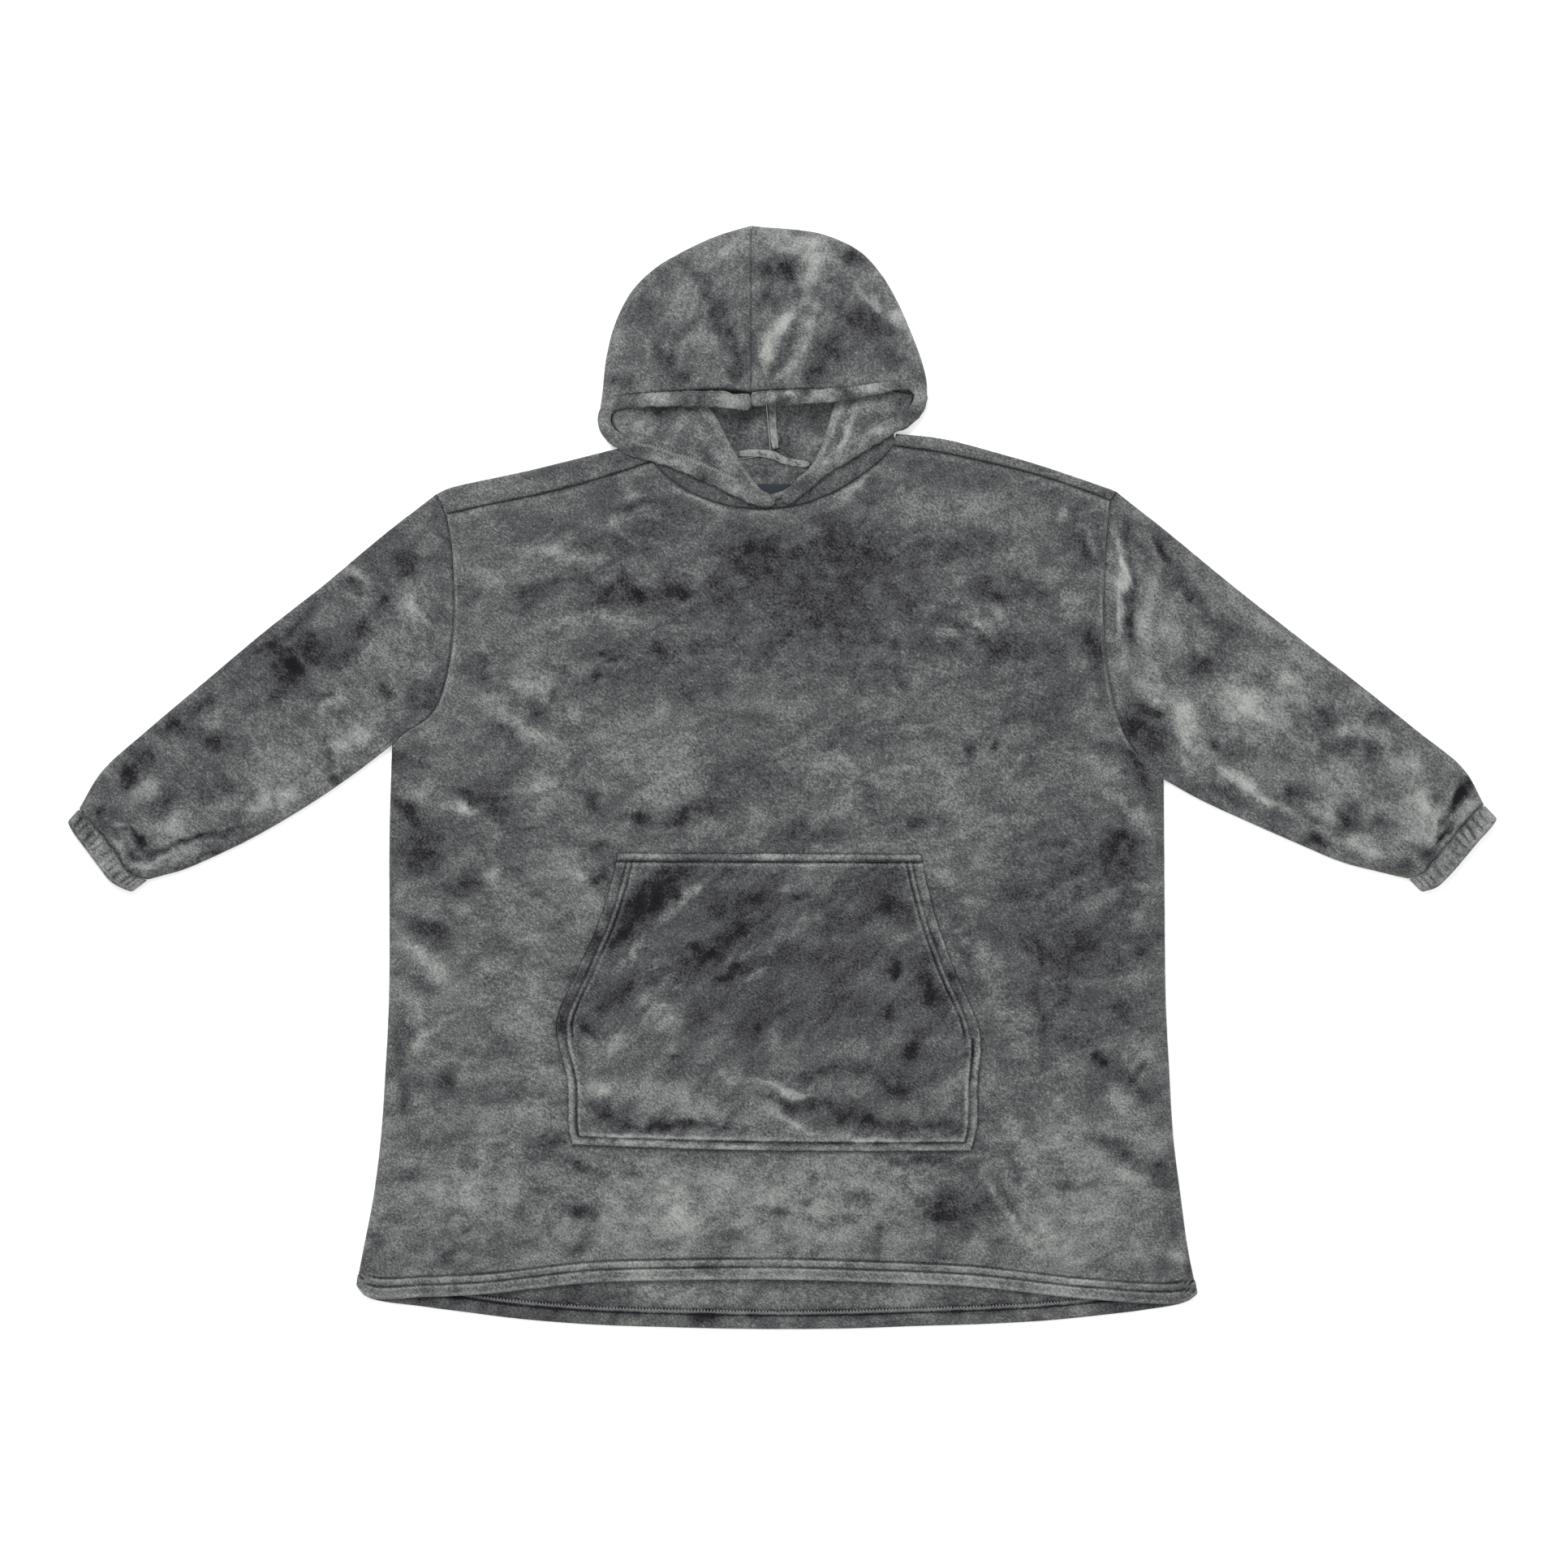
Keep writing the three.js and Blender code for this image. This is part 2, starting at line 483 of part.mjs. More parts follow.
// Swaps the outermost column at each side for the points that the side's edge needs.
function withSides(rows, height, isSide, angles, out) {
  return rows.map((row, i) => {
    const last = row.length - 1;
    const ends = [[row[0], row[1]], [row[last], row[last - 1]]].map(([edge, next]) => {
      const inward = inwardFrom(edge, next);
      if (isSide(i)) return roundEdge(edge, inward, FLOOR_MID, TOP_MID, angles);
      return [0, 1.8, 3.5].map((d) => {
        const place = edge.clone().addScaledVector(inward, d);
        return clothPoint(place, height(place, 0, i), out);
      });
    });
    const middle = row.slice(1, last).map((p, j) => clothPoint(p, height(p, (j + 1) / last, i), out));
    return [...ends[0], ...middle, ...ends[1].reverse()];
  });
}

// The shoulders' points, with the ones at the armholes kept clear of the sleeves.
function shoulderPoints(name) {
  const rows = [...LEFT_SHOULDER, ...RIGHT_SHOULDER];
  return rows.map((s, k) => {
    const clear = k === 0 ? HALF_GAP : k === rows.length - 1 ? -HALF_GAP : 0;
    return plan(s[name + "X"] + clear, s[name + "Y"]);
  });
}

// Pulls a row of plan points down by the seam gap, where a neighbour is sewn on above it.
const below = (points, gap = HALF_GAP) => points.map((p) => plan(p.x, p.y - gap));

// The front: from the hem to the shoulder seams and the neckline.
function frontGrid() {
  const cells = NECK_CELLS + 2 * SHOULDER_CELLS;
  const { low, hem } = bodyLines(cells, FRONT_HEM);
  const shoulders = shoulderPoints("seam");
  const neck = FRONT_NECK.slice(1, -1).map(([x, y]) => plan(x, y));
  const top = below([
    ...shoulders.slice(0, SHOULDER_CELLS + 1), ...neck, ...shoulders.slice(SHOULDER_CELLS + 1)]);
  const left = besideArmhole(armholeLeft, 1);
  const right = besideArmhole(armholeRight, -1);
  [left[left.length - 1], right[right.length - 1]] = [top[0], top[top.length - 1]];
  [left[0], right[0]] = [low[0], low[low.length - 1]];
  const hemRows = sideLeft.map((_, i) => i / SIDE_ROWS);
  const lower = patch(hem, low, sideLeft, sideRight);
  const upper = patch(low, top, left, right);
  const hemShare = (HEM_DEPTH + 1) / 520;
  const besideHem = [0.8 * hemShare, hemShare * 1.15].map((t) =>
    lower[0].map((p, j) => p.clone().lerp(lower[1][j], clamp01(t * SIDE_ROWS))));
  const rows = [lower[0], ...besideHem, ...lower.slice(1), ...upper.slice(1)];
  const lastSide = hemRows.length + besideHem.length - 1;
  const height = (p, share, i) => {
    const rise = smooth(clamp01(Math.sin(Math.PI * share) * 2.2));
    const ends = smooth(clamp01(i / 3)) * smooth(clamp01((rows.length - 1 - i) / 2));
    return TOP_MID + rise * (FRONT_LOFT * (0.35 + 0.65 * ends) + creaseHeight(FRONT_CREASES, p.x, p.y) * ends)
      - (i === rows.length - 1 || (share === 0 && i > lastSide) ? SEAM_DIP : 0);
  };
  const grid = withSides(rows, height, (i) => i <= lastSide, [6, 48, 90], UP);
  for (const row of grid.slice(0, 2)) row.slice(3, -3).forEach((p) => (p.outer = HEM_EXTRA));
  return grid;
}

// The back: flat on the floor, then over the shoulder folds and down to the shoulder seams.
function backGrid() {
  const neckCells = BACK_NECK.length - 1;
  const cells = neckCells + 2 * SHOULDER_CELLS;
  const { low, hem } = bodyLines(cells, BACK_HEM);
  const seams = shoulderPoints("seam");
  const shoulders = shoulderPoints("fold").map((fold, k) => {
    return { fold, seam: seams[k], inward: inwardFrom(fold, seams[k]) };
  });
  const reach = CLOTH / 2 + (TOP_MID - FLOOR_MID) / 2;
  const onFloor = shoulders.map((s) => s.fold.clone().addScaledVector(s.inward, reach));
  const neck = BACK_NECK.slice(1, -1).map(([x, y]) => plan(x, y));
  const top = [...onFloor.slice(0, SHOULDER_CELLS + 1), ...below(neck), ...onFloor.slice(SHOULDER_CELLS + 1)];
  const left = [...besideArmhole(armholeLeft, 1), top[0]];
  const right = [...besideArmhole(armholeRight, -1), top[top.length - 1]];
  [left[0], right[0]] = [low[0], low[low.length - 1]];
  const every = (rows) => rows.filter((_, i) => i % 2 === 0);
  const lower = patch(hem, low, every(sideLeft), every(sideRight));
  const upper = patch(low, top, left, right);
  const hemRow = [0.42, 0.5].map((t) => lower[0].map((p, j) => p.clone().lerp(lower[1][j], t)));
  const rows = [lower[0], ...hemRow, ...lower.slice(1), ...upper.slice(1)];
  const lastSide = lower.length + hemRow.length - 1;
  const grid = withSides(rows, () => FLOOR_MID, (i) => i <= lastSide, [-6, -48, -90], DOWN);
  for (const row of grid.slice(0, 2)) row.slice(3, -3).forEach((p) => (p.inner = HEM_EXTRA));
  // Rows over the fold, for the shoulder columns. A column at each end has two extra points.
  const angles = [-45, 0, 45, 90];
  const overFold = [...angles.keys(), "seam"].map((k) => {
    const points = shoulders.map((s) => {
      if (k === "seam") {
        const place = s.seam.clone().addScaledVector(s.inward, -HALF_GAP);
        return clothPoint(place, TOP_MID - SEAM_DIP, UP);
      }
      return roundEdge(s.fold, s.inward, FLOOR_MID, TOP_MID, [angles[k]])[0];
    });
    const half = SHOULDER_CELLS + 1;
    const [leftEnd, rightEnd] = [points.slice(0, half), points.slice(half)];
    const fill = (a, b, t) => ({
      mid: a.mid.clone().lerp(b.mid, t),
      out: a.out.clone().lerp(b.out, t).normalize(),
    });
    const share = 3.5 / 42; // the two columns beside each armhole
    const neckFill = neck.map(() => leftEnd[half - 1]);
    return [
      leftEnd[0], fill(leftEnd[0], leftEnd[1], share / 2), fill(leftEnd[0], leftEnd[1], share),
      ...leftEnd.slice(1), ...neckFill, ...rightEnd.slice(0, -1),
      fill(rightEnd[half - 1], rightEnd[half - 2], share), fill(rightEnd[half - 1], rightEnd[half - 2], share / 2),
      rightEnd[half - 1],
    ];
  });
  const floorRows = grid.length;
  const shoulderColumns = SHOULDER_CELLS + 2;
  const present = (i, j) => i < floorRows - 1 || j < shoulderColumns || j >= shoulderColumns + neckCells;
  return { grid: [...grid, ...overFold], present };
}

// Sleeves and cuffs

// Rings of a flattened tube. across holds plan points from the top edge to the underside edge,
// one row for each section along the sleeve.
function tubeRings(across, { low, height, thick = CLOTH, extra = () => ({}) }) {
  return across.map((row, i) => {
    const last = row.length - 1;
    const middle = row.slice(1, last);
    const [topEdge, underEdge] = [[row[0], row[1]], [row[last], row[last - 1]]];
    const rim = (share) => height(share === 0 ? row[0] : row[last], share, i);
    const arc = ([edge, next], share, angles) =>
      roundEdge(edge, inwardFrom(edge, next), low, rim(share), angles, thick / 2, extra(i, share, 0));
    const upper = middle.map((p, k) => clothPoint(p, height(p, (k + 1) / last, i), UP, extra(i, (k + 1) / last, 1)));
    const lower = middle.map((p, k) => clothPoint(p, low, DOWN, extra(i, (k + 1) / last, -1)));
    return [
      ...arc(topEdge, 0, [0, 45, 90]), ...upper, ...arc(underEdge, 1, [90, 45, 0, -45, -90]),
      ...lower.reverse(), ...arc(topEdge, 0, [-90, -45]),
    ];
  });
}

const SLEEVE_SECTIONS = 14;
const UNDERARM_EASE = 7;
const SLEEVE_GATHER = 1.3; // the cuff's elastic draws the end of the sleeve into soft folds

function sleeveRings(table, cuff, armhole, fold, into) {
  const seam = besideArmhole(armhole, into);
  seam[0].x += into * 2 * SEAM_GAP;
  seam[1].addScaledVector(plan(into, 1), SEAM_GAP / 2);
  const armholeEdge = [fold.clone().add(plan(into * 1.6 * SEAM_GAP, 0)), ...seam.reverse()];
  const last = armholeEdge.length - 1;
  const top = throughPoints(table.map((s) => [s.topX, s.topY]), SLEEVE_SECTIONS);
  const under = throughPoints(table.map((s) => [s.underX, s.underY]), SLEEVE_SECTIONS, 1.4);
  [top[0], under[0]] = [armholeEdge[0], armholeEdge[last]];
  const end = top.length - 1;
  const cuffEdge = throughPoints(cuff.map((s) => [s.seamX, s.seamY]), last);
  const across = patch(armholeEdge, cuffEdge, top, under);
  // The first sections keep to the sleeve's side of the armhole where the seam turns under the arm.
  const away = armholeEdge.map((p, k) => {
    const along = armholeEdge[Math.min(k + 1, last)].clone().sub(armholeEdge[Math.max(k - 1, 0)]);
    const across = plan(-along.y, along.x).normalize();
    return Math.sign(across.x) === into ? across : across.negate();
  });
  for (const [i, row] of across.entries()) {
    const v = i / end / 0.09;
    row.forEach((p, k) => {
      const share = k / last;
      p.addScaledVector(away[k], UNDERARM_EASE * v * Math.exp(1 - v) * smooth(clamp01(5 * share * (1 - share))));
    });
  }
  const height = (p, share, i) => {
    const rise = smooth(clamp01(Math.sin(Math.PI * share) * 1.9));
    const along = i / end;
    const ends = smooth(clamp01(i / 2));
    const nearCuff = smooth(clamp01((along - 0.72) / 0.28));
    const folds = SLEEVE_GATHER * nearCuff * Math.cos(6 * Math.PI * share);
    return TOP_MID + rise * ends * (FRONT_LOFT + 0.5 * nearCuff + folds * 0.5 + creaseHeight(SLEEVE_CREASES, p.x, p.y))
      - (i === 0 && share > 0 && share < 1 ? SEAM_DIP : 0);
  };
  return tubeRings(across, { low: FLOOR_MID, height });
}

const CUFF_STEPS = 4 * CUFF_GATHERS; // four points to a gather
const CUFF_TOP_MID = CASING * 1.5 + 1.4;

function cuffRings(table) {
  const seam = throughPoints(table.map((s) => [s.seamX, s.seamY]), CUFF_STEPS);
  const end = throughPoints(table.map((s) => [s.endX, s.endY]), CUFF_STEPS);
  const across = [0, 0.5, 1].map((t) => seam.map((p, k) => {
    const outward = inwardFrom(p, end[k]);
    return p.clone().addScaledVector(outward, 1.4 * SEAM_GAP).lerp(end[k], t);
  }));
  const wave = (share) => Math.sin(2 * Math.PI * CUFF_GATHERS * share) * Math.min(1, 12 * share, 12 * (1 - share));
  return tubeRings(across, {
    low: CASING / 2,
    thick: CASING,
    height: () => CUFF_TOP_MID,
    extra: (i, share, layer) => ({ outer: layer > 0 ? 0.7 * wave(share) : 0 }),
  });
}

// The pocket, on the front

function pocketGrid(front) {
  const left = throughPoints(leftOf(POCKET_SIDES), 16);
  const right = throughPoints(rightOf(POCKET_SIDES), 16);
  const cells = 12;
  const top = Array.from({ length: cells + 1 }, (_, j) => left[0].clone().lerp(right[0], j / cells));
  const bottom = Array.from({ length: cells + 1 }, (_, j) => {
    const p = left[16].clone().lerp(right[16], j / cells);
    return plan(p.x, p.y - 3 * Math.sin((Math.PI * j) / cells));
  });
  const rows = patch(top, bottom, left, right);
  const clearance = CLOTH + 0.45;
  return rows.map((row, i) => row.map((p, j) => {
    const edge = Math.min(i / 2, (rows.length - 1 - i) / 2, j / 2, (cells - j) / 2);
    const rise = smooth(clamp01(edge));
    const lift = rise * (0.6 + Math.max(0, creaseHeight(POCKET_CREASES, p.x, p.y)));
    return clothPoint(p, panelHeight(front, p.x, p.y) + clearance + lift, UP);
  }));
}

// The hood

const HOOD_EDGE_MID = 3.2; // half the height of the fold at the hood's outer edge

// One half of the hood, from the opening's upper lip, over the outer edge, to the neck seam.
function crownGrid(table, into) {
  const ribs = 12;
  const sewn = (x) => straightAt(BACK_NECK, x) + HALF_GAP;
  const [lips, edges, bases] = ["lip", "edge", "base"].map((name) =>
    throughPoints(table.map((r) => [r[name + "X"], r[name + "Y"] ?? sewn(r.baseX)]), ribs));
  const firstSewn = table.findIndex((r) => r.baseY === undefined) / (table.length - 1);
  bases.forEach((p, k) => {
    if (k / ribs >= firstSewn) p.y = sewn(p.x);
  });
  const lipHeights = throughPoints(table.map((r, k) => [k, r.lipZ]), ribs).map((p) => p.y);
  for (const points of [lips, edges, bases]) points[ribs].x += into * HALF_GAP;
  const upper = [0.3, 0.46, 0.62, 0.78, 0.9];
  const lower = [0.06, 0.2, 0.4, 0.6, 0.8, 1];
  return lips.map((lip, k) => {
    const [edge, base] = [edges[k], bases[k]];
    const inwardTop = inwardFrom(edge, lip);
    const inwardLow = inwardFrom(edge, k === 0 ? lip : base);
    const rim = Math.min(2 * HOOD_EDGE_MID + FLOOR_MID, lipHeights[k]);
    const radius = (rim - FLOOR_MID) / 2;
    const reach = radius + CLOTH / 2;
    const topEnd = edge.clone().addScaledVector(inwardTop, reach);
    const lowEnd = edge.clone().addScaledVector(inwardLow, reach);
    const band = Math.min(0.2, RIM_DEPTH / lip.distanceTo(topEnd));
    const points = [0, band, band + 0.04, ...upper].map((t) => {
      const place = lip.clone().lerp(topEnd, t);
      const dome = Math.sin((Math.PI / 2) * (1 - t)) + 0.35 * Math.sin(Math.PI * t);
      const crease = smooth(clamp01(4 * t)) * smooth(clamp01(4 * (1 - t))) * creaseHeight(HOOD_CREASES, place.x, place.y);
      const z = rim + (lipHeights[k] - rim) * dome + crease;
      return clothPoint(place, z, UP, { outer: t <= band ? 1 : 0 });
    });
    points.push(...roundEdge(edge, inwardTop, FLOOR_MID, rim, [90, 45, 0]));
    points.push(...roundEdge(edge, inwardLow, FLOOR_MID, rim, [-45, -90]));
    for (const t of lower) points.push(clothPoint(lowEnd.clone().lerp(base, t), FLOOR_MID, DOWN));
    return points;
  });
}

// A front edge turned out: from the lip across to the roll line, round it, and back down under.
function flapGrid(table, into) {
  return table.map((s, i) => {
    const [lip, roll] = [plan(s.lipX, s.lipY), plan(s.rollX, s.rollY)];
    const neckGap = i < 7 ? HALF_GAP : 0;
    const neck = plan(s.neckX - into * (i === 6 ? neckGap : 0), s.neckY + neckGap);
    const [flapZ, underZ] = [FLAP_MID + s.lift, TOP_MID + s.lift];
    const toLip = inwardFrom(roll, lip);
    const toNeck = inwardFrom(roll, neck);
    const reach = CLOTH / 2 + (flapZ - underZ) / 2;
    const flapEnd = roll.clone().addScaledVector(toLip, reach);
    const underStart = roll.clone().addScaledVector(toNeck, reach);
    const width = lip.distanceTo(flapEnd);
    const band = clamp01(RIM_DEPTH / Math.max(width, RIM_DEPTH + 1));
    const points = [0, band * 0.96, Math.min(1, band * 1.05), 0.5 + band / 2].map((t) =>
      clothPoint(lip.clone().lerp(flapEnd, t), flapZ, UP, { outer: t < band ? 0.9 : 0 }));
    points.push(...roundEdge(roll, toLip, underZ, flapZ, [90, 45, 0]));
    points.push(...roundEdge(roll, toNeck, underZ, flapZ, [-45, -90]));
    const dip = i < 7 ? SEAM_DIP : 0;
    for (const t of [0.33, 0.67, 1]) {
      points.push(clothPoint(underStart.clone().lerp(neck, t), underZ - dip * (t === 1 ? 1 : 0), DOWN));
    }
    return points;
  });
}

function hoodHalf(ribs, flap, into) {
  const crown = solidOf(wall(crownGrid(ribs, into)));
  const turned = solidOf(wall(flapGrid(flap, into)));
  return geometryOf(crown.add(turned));
}

// The label, a small tape lying on the inside of the back
function labelGeometry() {
  const box = new THREE.BoxGeometry(LABEL.width, LABEL.height, LABEL.thick);
  return box.translate(LABEL.x, LABEL.y, CLOTH + 0.3 + LABEL.thick / 2);
}

// Materials and the group

const fleece = (name, color) =>
  new THREE.MeshStandardMaterial({ name, color, roughness: 0.95, metalness: 0 });
const greyFleece = fleece("grey plush fleece", 0x6a6d6d);
const greyCasing = fleece("grey fleece casing", 0x646767);
const navyTape = new THREE.MeshStandardMaterial({ name: "woven tape", color: 0x1c2b3a, roughness: 0.8 });

const group = new THREE.Group();
group.name = "fleece hoodie";
function add(name, geometry, material) {
  geometry.computeVertexNormals();
  const mesh = new THREE.Mesh(geometry, material);
  mesh.name = name;
  group.add(mesh);
}

const front = frontGrid();
const back = backGrid();
const foldLeft = plan(LEFT_SHOULDER[0].foldX, LEFT_SHOULDER[0].foldY);
const foldRight = plan(RIGHT_SHOULDER[SHOULDER_CELLS].foldX, RIGHT_SHOULDER[SHOULDER_CELLS].foldY);
add("front", wall(front), greyFleece);
add("back", wall(back.grid, { present: back.present }), greyFleece);
add("sleeve_left", wall(sleeveRings(LEFT_SLEEVE, LEFT_CUFF, armholeLeft, foldLeft, -1), { wrap: true }), greyFleece);
add("sleeve_right", wall(sleeveRings(RIGHT_SLEEVE, RIGHT_CUFF, armholeRight, foldRight, 1), { wrap: true }), greyFleece);
add("cuff_left", wall(cuffRings(LEFT_CUFF), { thick: CASING, wrap: true }), greyCasing);
add("cuff_right", wall(cuffRings(RIGHT_CUFF), { thick: CASING, wrap: true }), greyCasing);
add("pocket", wall(pocketGrid(front)), greyFleece);
add("hood_left", hoodHalf(HOOD_LEFT, FLAP_LEFT, -1), greyFleece);
add("hood_right", hoodHalf(HOOD_RIGHT, FLAP_RIGHT, 1), greyFleece);
add("neck_label", labelGeometry(), navyTape);

export default group;
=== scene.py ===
import bpy
import numpy as np
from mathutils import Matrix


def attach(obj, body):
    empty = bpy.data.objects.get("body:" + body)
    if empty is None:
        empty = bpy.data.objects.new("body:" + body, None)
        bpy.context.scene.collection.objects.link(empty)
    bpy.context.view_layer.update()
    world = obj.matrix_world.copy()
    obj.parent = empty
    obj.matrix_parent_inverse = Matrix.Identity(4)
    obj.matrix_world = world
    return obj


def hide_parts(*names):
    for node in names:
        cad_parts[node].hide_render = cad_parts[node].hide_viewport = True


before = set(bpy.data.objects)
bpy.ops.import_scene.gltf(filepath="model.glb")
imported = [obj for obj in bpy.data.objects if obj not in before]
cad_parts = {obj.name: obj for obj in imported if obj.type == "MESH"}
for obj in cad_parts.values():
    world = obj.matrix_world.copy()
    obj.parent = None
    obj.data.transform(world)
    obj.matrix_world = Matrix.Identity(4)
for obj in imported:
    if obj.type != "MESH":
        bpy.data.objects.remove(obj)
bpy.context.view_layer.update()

# The front panel
# One wide panel of plush fleece, knitted polyester with a brushed pile on both sides. It is cut with
# a scooped neck and deep armholes, and its hem is turned up once and held by two rows of stitching.

CLOTH = 2.6  # thickness with the pile. The garment's lengths are in millimetres throughout
HALF = CLOTH / 2
LAYER_GAP = 1.5
FLOOR_MID = HALF  # the height of the middle of a layer that lies on the floor
TOP_MID = FLOOR_MID + CLOTH + LAYER_GAP  # and of the layer over it
LOFT = 1.5
SEAM_GAP = 0.4

LEFT_SIDE = [
    (-420, -501), (-413, -464), (-403.5, -415), (-396, -355), (-391.5, -290), (-388, -220),
    (-387.5, -140), (-387.5, -60), (-385, 32),
]
RIGHT_SIDE = [
    (409, -509), (400, -466), (393, -415), (385.5, -355), (381.5, -290), (378, -220), (377, -140),
    (376.5, -70), (376, -2),
]
LEFT_ARMHOLE = [
    (-385, 32), (-372, 45), (-355, 54), (-343, 66), (-333, 90), (-327, 119), (-324, 148), (-323, 176),
    (-324, 204), (-326, 232), (-331, 260),
]
RIGHT_ARMHOLE = [
    (376, -2), (365, 7), (351, 20), (338, 40), (328, 66), (321, 100), (317, 135), (316, 168),
    (317, 202), (319, 238), (323, 273),
]
LEFT_SHOULDER_SEAM = [
    (-331, 260), (-320, 262), (-294, 268), (-247, 277.5), (-200, 289), (-153, 303.5), (-128, 312),
]
RIGHT_SHOULDER_SEAM = [
    (109, 327), (155, 320.5), (202, 310.5), (249, 299), (292, 285), (312, 277.5), (323, 273),
]
FRONT_NECK = [
    (-128, 312), (-121, 304), (-110, 294), (-94, 282.5), (-74, 274), (-48, 267), (-12.5, 265),
    (12, 268), (38, 276), (61, 287), (82, 301), (100, 316), (109, 327),
]
FRONT_HEM = [
    (-420, -501), (-409, -512), (-352, -512), (-290, -509), (-238, -503), (-190, -498), (-100, -495.5),
    (0, -495), (90, -497.5), (190, -502), (245, -508), (300, -514), (397, -517), (409, -509),
]
HEM_STITCHES = (12.4, 20.8)  # distances of the two rows from the fold
HEM_MARKS = [
    0, 0.4, 1.2, 2.6, 5, 8, 10.4, 11.5, 12.4, 13.3, 14.4, 16.6, 18.8, 19.9, 20.8, 21.7, 23, 26, 30,
]

SEAM_MARKS = [0, 0.5, 1.2, 2.2, 3.6, 5.5, 8]  # rows of points beside a seam

# Creases and streaks of tone, a row each: x, y, length, width, angle from +X in degrees, and the
# height of the crease or the change in tone. Most streaks are the pile's own patches; some are painted
# highlights and painted shade on folds and creases.
FRONT_CREASES = [
    (232, -440, 125, 26, -53, 1.4), (262, -418, 110, 24, -56, -0.7), (-200, 246, 120, 22, 0, -0.7),
    (-105, 262, 70, 22, -28, 1.1), (300, 236, 60, 22, -65, 1.1), (-345, -30, 120, 30, -70, 1.0),
    (345, -70, 130, 30, 65, 1.0), (60, 190, 170, 34, 8, 0.9), (-60, 70, 190, 38, 15, 0.8),
    (215, -150, 150, 30, -62, 1.0), (-300, -330, 170, 34, 72, 0.9), (-40, -440, 200, 34, 4, 0.8),
    (184, 33, 15, 15, 0, -0.9), (211, 34, 14, 14, 0, -0.8), (313, -271, 14, 14, 0, -0.9),
    (350, -277, 14, 14, 0, -0.9),
]
